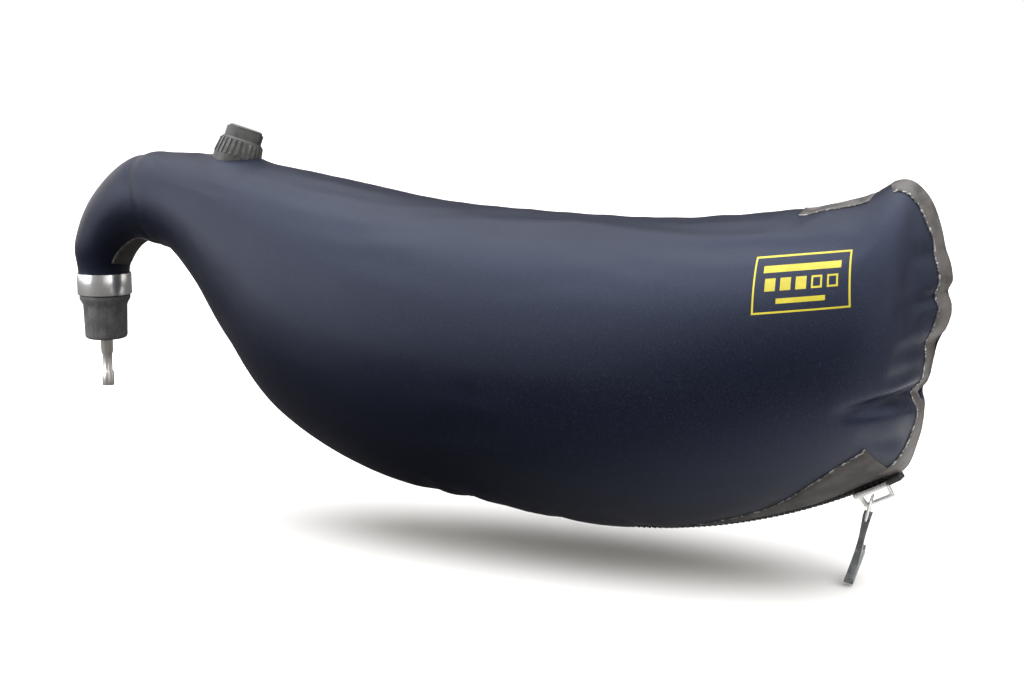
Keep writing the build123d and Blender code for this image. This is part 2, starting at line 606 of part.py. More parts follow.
def hex_nut():
    blank = extrude(RegularPolygon(NUT_AF / 2, 6, major_radius=False), NUT_HEIGHT)
    return Pos(0, 0, WASHER_TOP) * blank - rod(STEM_BORE_R, WASHER_TOP - 1, NUT_TOP + 1)


# ---- Write every sub-part ---------------------------------------------------------------
def main():
    save("body_panel_near", panel("near"))
    save("body_panel_far", panel("far"))
    save("neck_sleeve", band(MOUTH_ROW, NECK_ROW, *SLIT, -FABRIC, 0))
    save("neck_joint_tape", band(*NECK_JOINT, -86, 266, *INSIDE))
    half = NECK_TAPE_WIDTH / 2
    save("neck_seam_tape", band(MOUTH_ROW + 1 + 1 / STEPS, NECK_ROW, reach(-half), reach(half), *LAYER_1))
    inner = INNER_TAPE_WIDTH / 2
    back_first = ring_place(place(COLLAR_X + BACKING_R * 1.5, 0))
    save("back_seam_tape", band(back_first, REAR_ROW, reach(-inner, 90), reach(inner, 90), *INSIDE))
    chest = (NECK_JOINT[1] + 1 / STEPS, ZIP_TAPE[0])
    save("chest_seam_tape", band(*chest, reach(-inner), reach(inner), *INSIDE))
    save("rear_seam_tape", band(REAR_ROW, LAST_ROW, *SLIT, *LAYER_1))
    edge = REAR_TAPE_WIDTH
    end_first = ring_place(place(BODY_LEN - BACK_TAPE, 0))
    save("back_end_tape", band(end_first, REAR_ROW, reach(-edge, 90), reach(edge, 90), *LAYER_1))
    save("corner_patch", corner_patch())
    save("zip_tape_near", band(*ZIP_TAPE, reach(-ZIP_TAPE_WIDTH), reach(-CHAIN_GAP), *LAYER_1))
    save("zip_tape_far", band(*ZIP_TAPE, reach(CHAIN_GAP), reach(ZIP_TAPE_WIDTH), *LAYER_1))
    save("zip_teeth_near", teeth("near"))
    save("zip_teeth_far", teeth("far"))
    dock_end, stop_end = ZIP_REAR_ANGLE + turn_of(STOP_LEN), ZIP_FRONT_ANGLE - turn_of(STOP_LEN)
    save("zip_dock", chain_end(ZIP_REAR_ANGLE, dock_end, SLIDER_TOP))
    save("zip_end_stop", chain_end(stop_end, ZIP_FRONT_ANGLE, SLIDER_LOW))
    save("zip_slider", slider())
    save("pull_ring", ring())
    save("pull_handle", handle())
    save("size_label", label())
    save("blowpipe_collar", collar())
    save("collar_backing_ring", backing_ring())
    save("blowpipe_stopper", stopper())
    save("clamp_band", clamp_band())
    save("clamp_housing", clamp_housing())
    save("clamp_screw", clamp_screw())
    save("neck_bung", bung())
    save("valve_stem", valve_stem())
    save("valve_washer", tube(WASHER_R, STEM_BORE_R, BUNG_TOP, WASHER_TOP))
    save("valve_nut", hex_nut())
    save("valve_core", valve_core())
    save("valve_pin", valve_pin())
    save("valve_spring", valve_spring())


main()
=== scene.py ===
"""The looks of an inflated pipe bag: coated fabric, seam tapes, a zip with its pull, a ribbed
collar and a clamped rubber bung with an air valve. Metres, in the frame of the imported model.
"""
import bpy
import json
import math
from mathutils import Matrix, Vector, noise
from mathutils.bvhtree import BVHTree


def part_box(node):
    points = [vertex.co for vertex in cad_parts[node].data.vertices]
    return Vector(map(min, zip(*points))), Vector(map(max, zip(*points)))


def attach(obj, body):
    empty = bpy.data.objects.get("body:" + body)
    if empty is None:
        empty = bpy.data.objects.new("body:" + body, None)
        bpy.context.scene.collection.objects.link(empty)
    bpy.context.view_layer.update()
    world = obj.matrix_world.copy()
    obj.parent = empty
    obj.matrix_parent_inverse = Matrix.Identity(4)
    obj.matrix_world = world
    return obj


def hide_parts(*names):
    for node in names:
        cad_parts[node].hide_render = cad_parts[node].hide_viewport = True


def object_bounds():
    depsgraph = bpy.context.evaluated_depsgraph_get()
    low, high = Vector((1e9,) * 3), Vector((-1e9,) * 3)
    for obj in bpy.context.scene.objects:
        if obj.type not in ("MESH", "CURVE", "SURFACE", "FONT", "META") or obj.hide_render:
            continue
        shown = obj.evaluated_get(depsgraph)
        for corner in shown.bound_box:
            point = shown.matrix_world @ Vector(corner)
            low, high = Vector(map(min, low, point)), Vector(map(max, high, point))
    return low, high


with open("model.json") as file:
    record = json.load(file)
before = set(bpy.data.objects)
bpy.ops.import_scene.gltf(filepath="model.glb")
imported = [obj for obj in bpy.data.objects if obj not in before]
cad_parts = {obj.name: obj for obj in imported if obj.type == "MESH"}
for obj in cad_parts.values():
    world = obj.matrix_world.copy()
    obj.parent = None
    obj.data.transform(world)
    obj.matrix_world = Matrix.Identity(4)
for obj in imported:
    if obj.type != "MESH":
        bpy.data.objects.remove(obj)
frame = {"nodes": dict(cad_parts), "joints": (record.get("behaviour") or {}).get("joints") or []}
cad_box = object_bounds()
MM = 0.001


def low(node):
    return Vector(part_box(node)[0])


def high(node):
    return Vector(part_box(node)[1])


def joint(name):
    return next(j for j in frame["joints"] if j["name"] == name)


# ---- Sizes, from the frame ----------------------------------------------------------------
BODY_LEN = high("body_panel_near").x
BODY_TOP = high("body_panel_near").z
BODY_DROP = -low("body_panel_near").z
SWELL = 1.0073                            # the curve through the ovals is this much wider than they are
HALF_WIDTH = -low("body_panel_near").y / SWELL
MOUTH_R = high("clamp_band").x - 1.0 * MM
MOUTH_LEN = high("clamp_band").z + 0.5 * MM
SEAM_HALF = 2.2 * MM
ZIP_CENTRE = Vector(joint("zip_travel")["pos_m"])
ZIP_RADIUS = ZIP_CENTRE.z + BODY_DROP
COLLAR_AXIS = Vector(joint("stopper_pull")["axis"]).normalized()
COLLAR_X, COLLAR_UP = 105.0 * MM, 0.97    # where the collar stands: x, and z as a share of BODY_TOP
COLLAR_BASE = Vector((COLLAR_X, 0.0, COLLAR_UP * BODY_TOP))

# ---- Small helpers ------------------------------------------------------------------------


def clear_selection():
    if bpy.context.object and bpy.context.object.mode != "OBJECT":
        bpy.ops.object.mode_set(mode="OBJECT")
    bpy.ops.object.select_all(action="DESELECT")


def take(obj):
    """Select one object and make it the active one."""
    clear_selection()
    obj.select_set(True)
    bpy.context.view_layer.objects.active = obj
    return obj


def apply_modifier(obj, kind, **values):
    take(obj)
    mod = obj.modifiers.new(kind.title(), kind)
    for key, value in values.items():
        setattr(mod, key, value)
    bpy.ops.object.modifier_apply(modifier=mod.name)
    return obj


def smooth(obj, angle):
    take(obj)
    bpy.ops.object.shade_smooth_by_angle(angle=math.radians(angle))
    return obj


def finish_piece(obj, body, slot, material, *nodes):
    """Material, body and the nodes that a piece stands for. The slot is not used."""
    if material:
        obj.data.materials.clear()
        obj.data.materials.append(material)
    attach(obj, body)
    if nodes:
        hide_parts(*nodes)
    return obj


# ---- The bag's surface: ovals on a fan of planes -------------------------------------------
NECK = 4.3                                # where the sleeve meets the body
ZIP_START = 10.0
REAR_CORNER = 14.0


def belly(x):
    return ZIP_CENTRE.z - math.sqrt(ZIP_RADIUS ** 2 - (x - ZIP_CENTRE.x) ** 2)


def stations():
    """(top x, top z, bottom x, bottom z, half width) of each oval that shapes the bag."""
    up, down, wide, run, r = BODY_TOP, BODY_DROP, HALF_WIDTH, BODY_LEN, MOUTH_R
    rows = [
        (-r, 0.0, r, 0.0, r),
        (-r, MOUTH_LEN, r, MOUTH_LEN, r),
        (-16.5 * MM, 0.38 * up, 22.5 * MM, 0.31 * up, 0.26 * wide),
        (-1.5 * MM, 0.70 * up, 36.0 * MM, 0.40 * up, 0.30 * wide),
        (28.0 * MM, 0.96 * up, 46.0 * MM, 0.38 * up, 0.34 * wide),
        (62.0 * MM, 1.00 * up, 65.0 * MM, 0.32 * up, 0.40 * wide),
        (COLLAR_X, COLLAR_UP * up, 87.0 * MM, 0.08 * up, 0.52 * wide),
        (0.272 * run, 0.91 * up, 0.210 * run, -0.24 * down, 0.68 * wide),
        (0.356 * run, 0.83 * up, 0.281 * run, -0.61 * down, 0.84 * wide),
        (0.459 * run, 0.735 * up, 0.403 * run, -0.87 * down, 0.96 * wide),
    ]
    for top, bottom, height, width in ((0.581, 0.554, 0.690, 1.00), (0.712, 0.704, 0.675, 1.00),
                                       (0.824, 0.824, 0.730, 0.92), (0.908, 0.914, 0.815, 0.76),
                                       (0.951, 0.960, 0.925, 0.57)):
        rows.append((top * run, height * up, bottom * run, belly(bottom * run), width * wide))
    rows += [
        (0.972 * run, 0.86 * up, 0.973 * run, -0.44 * down, 0.40 * wide),
        (0.985 * run, 0.71 * up, 0.985 * run, -0.09 * down, 0.26 * wide),
        (0.995 * run, 0.54 * up, 0.995 * run, 0.04 * down, 0.13 * wide),
        (1.000 * run, 0.39 * up, 1.000 * run, 0.17 * down, SEAM_HALF),
    ]
    return rows


ROWS = stations()
LAST = len(ROWS) - 1


def oval_at(u):
    """The oval at place u, counted in stations, on a smooth curve through them."""
    i = min(int(u), LAST - 1)
    f = u - i
    before, here, after, later = (ROWS[min(max(i + k, 0), LAST)] for k in (-1, 0, 1, 2))
    out = []
    for p0, p1, p2, p3 in zip(before, here, after, later):
        if i == 0:
            out.append(p1 + (p2 - p1) * f)
            continue
        slope_in, slope_out = (p2 - p0) / 2, (p3 - p1) / 2
        if i == 1:
            slope_in = p2 - p1 if p0 != p1 else 0.0
        out.append((2 * f ** 3 - 3 * f ** 2 + 1) * p1 + (f ** 3 - 2 * f ** 2 + f) * slope_in
                   + (3 * f ** 2 - 2 * f ** 3) * p2 + (f ** 3 - f ** 2) * slope_out)
    if ZIP_START <= u <= REAR_CORNER:
        out[3] = belly(out[2])
    return out


def ease(value, start, end):
    """0 before start, 1 after end, and a smooth step between."""
    t = min(max((value - start) / (end - start), 0.0), 1.0)
    return t * t * (3 - 2 * t)


def pinch(u, angle):
    """How far the section is drawn to an edge: at the belly over the zip, and at the back's end."""
    if math.sin(math.radians(angle)) < 0:
        return 0.60 * ease(u, 11.2, 13.4)
    return 0.30 * ease(u, 11.0, 14.0)


def on_bag(u, angle):
    """Point at place u and angle round the oval (0 far side, 90 back, 180 near side, 270 belly)."""
    tx, tz, bx, bz, half_w = oval_at(u)
    up, out = math.sin(math.radians(angle)), math.cos(math.radians(angle))
    out = math.copysign(abs(out) ** (1.0 + pinch(u, angle) * abs(up)), out)
    return Vector(((tx + bx) / 2 + up / 2 * (tx - bx), half_w * out, (tz + bz) / 2 + up / 2 * (tz - bz)))


def even_places(count, first=0.0, last=float(LAST)):
    """Places along the bag whose rings are evenly spaced on the surface."""
    cuts = 900
    fine = [first + (last - first) * i / cuts for i in range(cuts + 1)]
    sums = [0.0]
    for a, b in zip(fine, fine[1:]):
        steps = [(on_bag(b, angle) - on_bag(a, angle)).length for angle in (90, 180, 270, 225, 135)]
        sums.append(sums[-1] + sum(steps) / len(steps))
    places, k = [], 0
    for i in range(count):
        want = sums[-1] * i / (count - 1)
        while k < cuts - 1 and sums[k + 1] < want:
            k += 1
        share = (want - sums[k]) / max(sums[k + 1] - sums[k], 1e-12)
        places.append(fine[k] + (fine[k + 1] - fine[k]) * min(max(share, 0.0), 1.0))
    return places


# ---- The bag's fabric: a grid of rings, dented at its seams, then blown up as cloth ---------
NECK_RINGS, BODY_RINGS, COLUMNS = 34, 166, 152
BACK, NEAR, BELLY, FAR = 0, COLUMNS // 4, COLUMNS // 2, 3 * COLUMNS // 4
# Folds that run in from the seam, in millimetres: end at the seam and inner end (x, z), depth, half width
FOLDS = (((522.0, -21.5), (490.0, -28.5), 11.0, 3.2),
         ((533.0, -7.0), (526.0, -8.0), 4.0, 15.0),
         ((534.0, 30.0), (520.0, 25.0), 3.2, 4.0),
         ((532.0, 52.0), (519.0, 47.0), 1.8, 4.5),
         ((529.0, 4.0), (513.0, 2.0), 2.6, 5.0),
         ((524.0, -8.0), (509.0, -11.0), 1.8, 4.0),
         ((512.0, -45.0), (497.0, -43.0), 2.2, 4.5),
         ((462.0, 72.0), (455.0, 60.0), 1.8, 5.0),
         ((381.0, -110.0), (374.0, -94.0), 2.0, 6.5),
         ((330.0, -110.0), (326.0, -96.0), 1.6, 7.0),
         ((275.0, -101.0), (274.0, -88.0), 2.2, 6.5),
         ((252.0, -96.0), (258.0, -84.0), 1.6, 6.0))


def fold_depth(point):
    """How far the folds pull the fabric in at a point, in metres."""
    x, z = point.x / MM, point.z / MM
    depth = 0.0
    for (x0, z0), (x1, z1), deep, wide in FOLDS:
        run = Vector((x1 - x0, z1 - z0))
        t = min(max(Vector((x - x0, z - z0)).dot(run) / run.length_squared, 0.0), 1.0)
        off = math.hypot(x - x0 - run.x * t, z - z0 - run.y * t)
        depth += deep * (1.0 - t) ** 0.8 * math.exp(-(off / wide) ** 2)
    return depth * MM


def grid_normals(grid):
    rings, out = len(grid), []
    for i in range(rings):
        row = []
        for k in range(COLUMNS):
            along = grid[min(i + 1, rings - 1)][k] - grid[max(i - 1, 0)][k]
            around = grid[i][(k + 1) % COLUMNS] - grid[i][(k - 1) % COLUMNS]
            row.append(around.cross(along).normalized())
        out.append(row)
    return out


PLACES = even_places(NECK_RINGS, 0.0, NECK)[:-1] + even_places(BODY_RINGS, NECK, float(LAST))
NECK_LAST = NECK_RINGS - 1


def seam_distance(i, k, grid):
    """Distance on the ring from the nearer seam."""
    row = grid[i]
    return min((row[k] - row[BACK]).length, (row[k] - row[BELLY]).length)


RIPPLE, RIPPLE_REACH, RIPPLE_PITCH = 0.9 * MM, 9 * MM, 62.0       # puckers beside the seams
COLLAR_RISE, COLLAR_REACH = 2.6 * MM, 18 * MM                     # fabric drawn up to the collar
GROOVE, GROOVE_RUN = 0.9 * MM, 0.085                              # the neck's joint; runs are in stations
ROLL, ROLL_PLACE, ROLL_RUN = 0.7 * MM, 0.25, 0.16                 # the fabric's roll behind the joint
FAR_SHARE = 0.55                                                  # folds are shallower on the far side
TOP_Z = 60 * MM                           # only the back of the bag, round the collar, is higher than this


def shaped_grid():
    """The rings of the bag with its folds, puckers, collar and neck joint drawn in."""
    grid = [[on_bag(u, 90 + 360 * k / COLUMNS) for k in range(COLUMNS)] for u in PLACES]
    normals = grid_normals(grid)
    out = []
    for i, u in enumerate(PLACES):
        row = []
        for k, point in enumerate(grid[i]):
            pull = fold_depth(point) * (1.0 if point.y <= 0 else FAR_SHARE)
            near_seam = math.exp(-(seam_distance(i, k, grid) / RIPPLE_REACH) ** 2)
            ripple = 0.0
            if u > NECK + 1:
                place = Vector((point.x, point.y * 0.3, point.z)) * RIPPLE_PITCH
                ripple = noise.noise(place) * RIPPLE * near_seam
            collar = (point - COLLAR_BASE).cross(COLLAR_AXIS).length
            rise = COLLAR_RISE * math.exp(-(collar / COLLAR_REACH) ** 4) if point.z > TOP_Z else 0.0
            groove = GROOVE * math.exp(-((u - NECK) / GROOVE_RUN) ** 2)
            roll = ROLL * math.exp(-((u - NECK - ROLL_PLACE) / ROLL_RUN) ** 2)
            row.append(point + normals[i][k] * (ripple + rise + roll - groove - pull))
        out.append(row)
    return out


GRID = shaped_grid()


def around_lengths(grid):
    """Distance round each ring from the back seam, one more than the columns."""
    out = []
    for row in grid:
        sums = [0.0]
        for k in range(COLUMNS):
            sums.append(sums[-1] + (row[(k + 1) % COLUMNS] - row[k]).length)
        out.append(sums)
    return out


def along_lengths(grid):
    sums = [0.0]
    for a, b in zip(grid, grid[1:]):
        sums.append(sums[-1] + sum((b[k] - a[k]).length for k in (BACK, NEAR, BELLY, FAR)) / 4)
    return sums


def bag_mesh(grid):
    """The whole bag as one tube, with a material slot for each panel and a cut pattern as UV."""
    rings = len(grid)
    points = [p for row in grid for p in row]
    faces, parts, uvs = [], [], []
    around, along = around_lengths(grid), along_lengths(grid)
    for i in range(rings - 1):
        for k in range(COLUMNS):
            n = (k + 1) % COLUMNS
            faces.append((i * COLUMNS + k, (i + 1) * COLUMNS + k, (i + 1) * COLUMNS + n, i * COLUMNS + n))
            part = 2 if i < NECK_LAST else (0 if k < BELLY else 1)
            zero = {0: NEAR, 1: FAR, 2: BELLY}[part]
            parts.append(part)
            for a, b in ((i, k), (i + 1, k), (i + 1, k + 1), (i, k + 1)):
                uvs.append((along[a], around[a][b] - around[a][zero]))
    mesh = bpy.data.meshes.new("bag_form")
    mesh.from_pydata([tuple(p) for p in points], [], faces)
    layer = mesh.uv_layers.new(name="cut")
    for loop, uv in zip(layer.data, uvs):
        loop.uv = uv
    mesh.polygons.foreach_set("material_index", parts)
    mesh.polygons.foreach_set("use_smooth", [True] * len(parts))
    mesh.update()
    obj = bpy.data.objects.new("bag_form", mesh)
    bpy.context.collection.objects.link(obj)
    return obj


MOUTH_HOLD, END_HOLD = 1.4, 0.4           # stations held whole at the mouth and at the rear end
ZIP_HOLD, SEAM_HOLD, SEAM_FADE = 6.5 * MM, 2.5 * MM, 5 * MM
COLLAR_HOLD, COLLAR_FADE = 20 * MM, 8 * MM
STRETCH_CAP = 2.6 * MM                    # no point moves further than this from the sewn shape
SLACK_REACH = 22 * MM
AIR_FRAMES = 20


def fall(distance, hold, fade):
    """1 within hold, and from there down to 0 over fade."""
    return min(max(1.0 - (distance - hold) / fade, 0.0), 1.0)


def pin_weight(i, k, grid):
    """1 where the fabric is held: mouth, collar, zip, seams and end; 0 where it is free."""
    u, point = PLACES[i], grid[i][k]
    if u < MOUTH_HOLD or u > LAST - END_HOLD:
        return 1.0
    hold = ZIP_HOLD if u > ZIP_START - 1 and abs(k - BELLY) < NEAR else SEAM_HOLD
    weight = fall(seam_distance(i, k, grid), hold, SEAM_FADE)
    if point.z > TOP_Z:
        collar = (point - COLLAR_BASE).cross(COLLAR_AXIS).length
        weight = max(weight, fall(collar, COLLAR_HOLD, COLLAR_FADE))
    return weight


def blow_up(obj, grid):
    """Cloth under pressure, held at its seams, with slack beside them; capped, then applied."""
    held = obj.vertex_groups.new(name="held")
    slack = obj.vertex_groups.new(name="slack")
    for i in range(len(grid)):
        for k in range(COLUMNS):
            held.add([i * COLUMNS + k], pin_weight(i, k, grid), "REPLACE")
            edge = seam_distance(i, k, grid)
            amount = math.exp(-(edge / SLACK_REACH) ** 2) if PLACES[i] > NECK + 1.5 else 0.0
            slack.add([i * COLUMNS + k], amount, "REPLACE")
    take(obj)
    before = [v.co.copy() for v in obj.data.vertices]
    mod = obj.modifiers.new("Air", "CLOTH")
    cloth = mod.settings
    cloth.quality = 6
    cloth.mass = 0.25
    cloth.tension_stiffness = 60
    cloth.compression_stiffness = 60
    cloth.shear_stiffness = 30
    cloth.bending_stiffness = 1.2
    cloth.use_pressure = True
    cloth.uniform_pressure_force = 3.0
    cloth.vertex_group_mass = "held"
    cloth.pin_stiffness = 1.0
    cloth.vertex_group_shrink = "slack"
    cloth.shrink_min = 0.0
    cloth.shrink_max = -0.035
    cloth.effector_weights.gravity = 0.0
    mod.collision_settings.use_self_collision = False
    scene = bpy.context.scene
    for number in range(1, AIR_FRAMES + 1):
        scene.frame_set(number)
    bpy.ops.object.modifier_apply(modifier=mod.name)
    scene.frame_set(1)
    for vertex, old in zip(obj.data.vertices, before):
        move = vertex.co - old
        if move.length > STRETCH_CAP:
            vertex.co = old + move.normalized() * STRETCH_CAP
    obj.vertex_groups.clear()


def make_bag():
    form = bag_mesh(GRID)
    blow_up(form, GRID)
    apply_modifier(form, "SUBSURF", levels=1, render_levels=1)
    return form


bag_form = make_bag()
BAG = BVHTree.FromObject(bag_form, bpy.context.evaluated_depsgraph_get())


BESIDE = 0.2                              # a place clear of the bag on either side of it


def wall(x, z, side):
    """Surface point over (x, z) on one side (-1 near, 1 far) and its normal, which faces into the bag."""
    point, inner_normal, _, _ = BAG.ray_cast(Vector((x, side * BESIDE, z)), Vector((0, -side, 0)))
    return point, inner_normal


def seam_walk(base, inward, side, lengths):
    """Points on the surface at given distances from the seam, square to it, with their normals.

    The normals face into the bag, and out of it at the seam itself.
    """
    first_step, step, furthest = 0.12 * MM, 0.35 * MM, 60 * MM
    last, last_normal, gone = base, -inward, 0.0
    out, want = [], list(lengths)
    d = 0.0
    while want and d < furthest:
        while want and gone >= want[0] - 1e-7 and d == 0.0:
            out.append((last, last_normal))
            want.pop(0)
        d += step if d > 2 * step else first_step
        spot = base + inward * d
        point, normal = wall(spot.x, spot.z, side)
        if point is None:
            continue
        reach = (point - last).length
        while want and gone + reach >= want[0]:
            share = (want[0] - gone) / max(reach, 1e-9)
            out.append((last.lerp(point, share), last_normal.lerp(normal, share).normalized()))
            want.pop(0)
        last, last_normal, gone = point, normal, gone + reach
    while want:
        out.append((last, last_normal))
        want.pop(0)
    return out


def seam_line(kind):
    """Points of the flat seam: the back, the rear end from top to bottom, or the belly."""
    if kind == "back":
        return [row[BACK] for row in GRID]
    if kind == "belly":
        return [row[BELLY] for row in GRID]
    end = GRID[-1]
    return [Vector((end[k].x, 0, end[k].z)) for k in range(BACK, BELLY + 1)]


def resample(line, step):
    """The same line with its points about one step apart."""
    sums = [0.0]
    for a, b in zip(line, line[1:]):
        sums.append(sums[-1] + (b - a).length)
    count = max(int(sums[-1] / step), 2)
    out, k = [], 0
    for i in range(count + 1):
        want = sums[-1] * i / count
        while k < len(line) - 2 and sums[k + 1] < want:
            k += 1
        share = (want - sums[k]) / max(sums[k + 1] - sums[k], 1e-12)
        out.append(line[k].lerp(line[k + 1], min(max(share, 0.0), 1.0)))
    return out


def inward_at(line, i, centre):
    """Direction square to the line in its own plane, towards the centre."""
    a, b = line[max(i - 2, 0)], line[min(i + 2, len(line) - 1)]
    along = (b - a).normalized()
    inward = Vector((along.z, 0, -along.x))
    return inward if inward.dot(centre - line[i]) > 0 else -inward


BAG_MIDDLE = Vector((BODY_LEN * 0.6, 0, -5 * MM))


def seam_strip(name, line, cuts, bite, thick, centre=BAG_MIDDLE, scale=None):
    """Tape along a seam line. cuts are signed distances from the seam, near side negative.

    The tape's inner face lies bite deep in the fabric, and its outer face is thick further out.
    scale, a function of a point of the line, widens or narrows the tape there.
    """
    flat = [Vector((p.x, 0, p.z)) for p in line]
    points, faces, uvs, along = [], [], [], 0.0
    near = sorted(-c for c in cuts if c <= 0)
    far = sorted(c for c in cuts if c > 0)
    width = len(cuts)
    for i, base in enumerate(flat):
        inward = inward_at(flat, i, centre)
        nearest = BAG.find_nearest(base)[0]
        seam = Vector((nearest.x, 0, nearest.z))
        size = scale(base) if scale else 1.0
        left = seam_walk(seam, inward, -1, [c * size for c in near])[::-1]
        right = seam_walk(seam, inward, 1, [c * size for c in far])
        if i:
            along += (base - flat[i - 1]).length
        for (point, normal), cut in zip(left + right, sorted(cuts)):
            points.append(point + normal * bite)
            uvs.append((along, cut))
        if i:
            for j in range(width - 1):
                a = (i - 1) * width + j
                faces.append((a, a + 1, a + 1 + width, a + width))
    mesh = bpy.data.meshes.new(name)
    mesh.from_pydata([tuple(p) for p in points], [], faces)
    layer = mesh.uv_layers.new(name="cut")
    for loop in mesh.loops:
        layer.data[loop.index].uv = uvs[loop.vertex_index]
    mesh.polygons.foreach_set("use_smooth", [True] * len(faces))
    mesh.update()
    obj = bpy.data.objects.new(name, mesh)
    bpy.context.collection.objects.link(obj)
    face_away(obj, centre)
    apply_modifier(obj, "SOLIDIFY", thickness=thick, offset=1.0)
    return obj


def face_away(obj, centre):
    """Turn an open sheet so that its faces point away from the bag's middle."""
    mesh = obj.data
    score = sum(p.normal.dot(p.center - centre) * p.area for p in mesh.polygons)
    if score < 0:
        mesh.flip_normals()
    return obj


# ---- Node helpers ---------------------------------------------------------------------------
def node(tree, kind, inputs=None, **props):
    """Add a shader node; inputs are values or sockets to link, by name or index."""
    made = tree.nodes.new(kind)
    for key, value in props.items():
        setattr(made, key, value)
    for key, value in (inputs or {}).items():
        if isinstance(value, bpy.types.NodeSocket):
            tree.links.new(value, made.inputs[key])
        else:
            made.inputs[key].default_value = value
    return made


def math_node(tree, operation, first, second=0.0, third=None, clamp=False):
    inputs = {0: first, 1: second}
    if third is not None:
        inputs[2] = third
    return node(tree, "ShaderNodeMath", inputs, operation=operation, use_clamp=clamp).outputs[0]


def times(tree, first, second, clamp=False):
    return math_node(tree, "MULTIPLY", first, second, clamp=clamp)


def plus(tree, first, second):
    return math_node(tree, "ADD", first, second)


def blend_colours(tree, factor, first, second):
    made = node(tree, "ShaderNodeMix", {0: factor, 6: first, 7: second}, data_type="RGBA")
    return made.outputs[2]


def soft_noise(tree, vector, scale, detail=2.0, roughness=0.5):
    made = node(tree, "ShaderNodeTexNoise", {"Vector": vector, "Scale": scale, "Detail": detail,
                                              "Roughness": roughness})
    return made.outputs[0]


def map_range(tree, value, low_in, high_in, low_out=0.0, high_out=1.0):
    return node(tree, "ShaderNodeMapRange", {0: value, 1: low_in, 2: high_in, 3: low_out, 4: high_out},
                interpolation_type="SMOOTHSTEP").outputs[0]


def effect(name, inputs, outputs):
    """Empty shader group with named inputs and outputs."""
    tree = bpy.data.node_groups.new(name, "ShaderNodeTree")
    for label, kind, value in inputs:
        made = tree.interface.new_socket(name=label, in_out="INPUT", socket_type=kind)
        if value is not None:
            made.default_value = value
    for label, kind in outputs:
        tree.interface.new_socket(name=label, in_out="OUTPUT", socket_type=kind)
    return tree, tree.nodes.new("NodeGroupInput"), tree.nodes.new("NodeGroupOutput")


FLOAT, VECTOR = "NodeSocketFloat", "NodeSocketVector"


def make_weave():
    """Plain weave from a flat cut pattern: threads over and under, with uneven yarn. Its Shade is partly
    painted shade, darker in the gaps between threads and lighter on their raised tops, and partly the yarn's
    own uneven tone.
    """
    given_names = [("Cut", VECTOR, None), ("Pitch", FLOAT, 0.0005), ("Slub", FLOAT, 0.3)]
    tree, given, out = effect("weave", given_names, [("Height", FLOAT), ("Shade", FLOAT)])
    parts = node(tree, "ShaderNodeSeparateXYZ", {0: given.outputs["Cut"]})
    waves = []
    for axis in (0, 1):
        turns = math_node(tree, "DIVIDE", parts.outputs[axis], given.outputs["Pitch"])
        waves.append(math_node(tree, "SINE", times(tree, turns, math.pi)))
    over = math_node(tree, "GREATER_THAN", times(tree, waves[0], waves[1]), 0.0)
    warp = math_node(tree, "ABSOLUTE", waves[0])
    weft = math_node(tree, "ABSOLUTE", waves[1])
    height = node(tree, "ShaderNodeMix", {0: over, 2: warp, 3: weft}, data_type="FLOAT").outputs[0]
    yarn = soft_noise(tree, given.outputs["Cut"], 900.0, 3.0)
    slub = times(tree, math_node(tree, "SUBTRACT", yarn, 0.5), given.outputs["Slub"])
    tree.links.new(plus(tree, height, slub), out.inputs["Height"])
    # Shade: painted shade from the threads' height (gaps darker, raised tops lighter) plus the yarn's own
    # uneven tone
    tree.links.new(plus(tree, times(tree, height, 0.5), times(tree, slub, 2.0)), out.inputs["Shade"])
    return tree


def make_grain():
    """Fine moulded grain with slow patches: a height and two masks."""
    given_names = [("Place", VECTOR, None), ("Size", FLOAT, 0.0006), ("Patch", FLOAT, 0.02)]
    made_names = [("Height", FLOAT), ("Speckle", FLOAT), ("Patches", FLOAT)]
    tree, given, out = effect("grain", given_names, made_names)
    fine_scale = math_node(tree, "DIVIDE", 1.0, given.outputs["Size"])
    slow_scale = math_node(tree, "DIVIDE", 1.0, given.outputs["Patch"])
    fine = soft_noise(tree, given.outputs["Place"], fine_scale, 4.0, 0.6)
    slow = soft_noise(tree, given.outputs["Place"], slow_scale, 3.0, 0.55)
    tree.links.new(fine, out.inputs["Height"])
    tree.links.new(map_range(tree, fine, 0.52, 0.70), out.inputs["Speckle"])
    tree.links.new(map_range(tree, slow, 0.35, 0.65), out.inputs["Patches"])
    return tree


def make_wear():
    """Rubbed edges from the surface's own curvature, broken up by noise."""
    given_names = [("Place", VECTOR, None), ("Start", FLOAT, 0.52), ("End", FLOAT, 0.62)]
    tree, given, out = effect("edge wear", given_names, [("Mask", FLOAT)])
    shape = node(tree, "ShaderNodeNewGeometry")
    broken = soft_noise(tree, given.outputs["Place"], 700.0, 4.0)
    edge = node(tree, "ShaderNodeMapRange", {0: shape.outputs["Pointiness"], 1: given.outputs["Start"],
                                             2: given.outputs["End"], 3: 0.0, 4: 1.0})
    tree.links.new(times(tree, edge.outputs[0], map_range(tree, broken, 0.35, 0.6)), out.inputs["Mask"])
    return tree


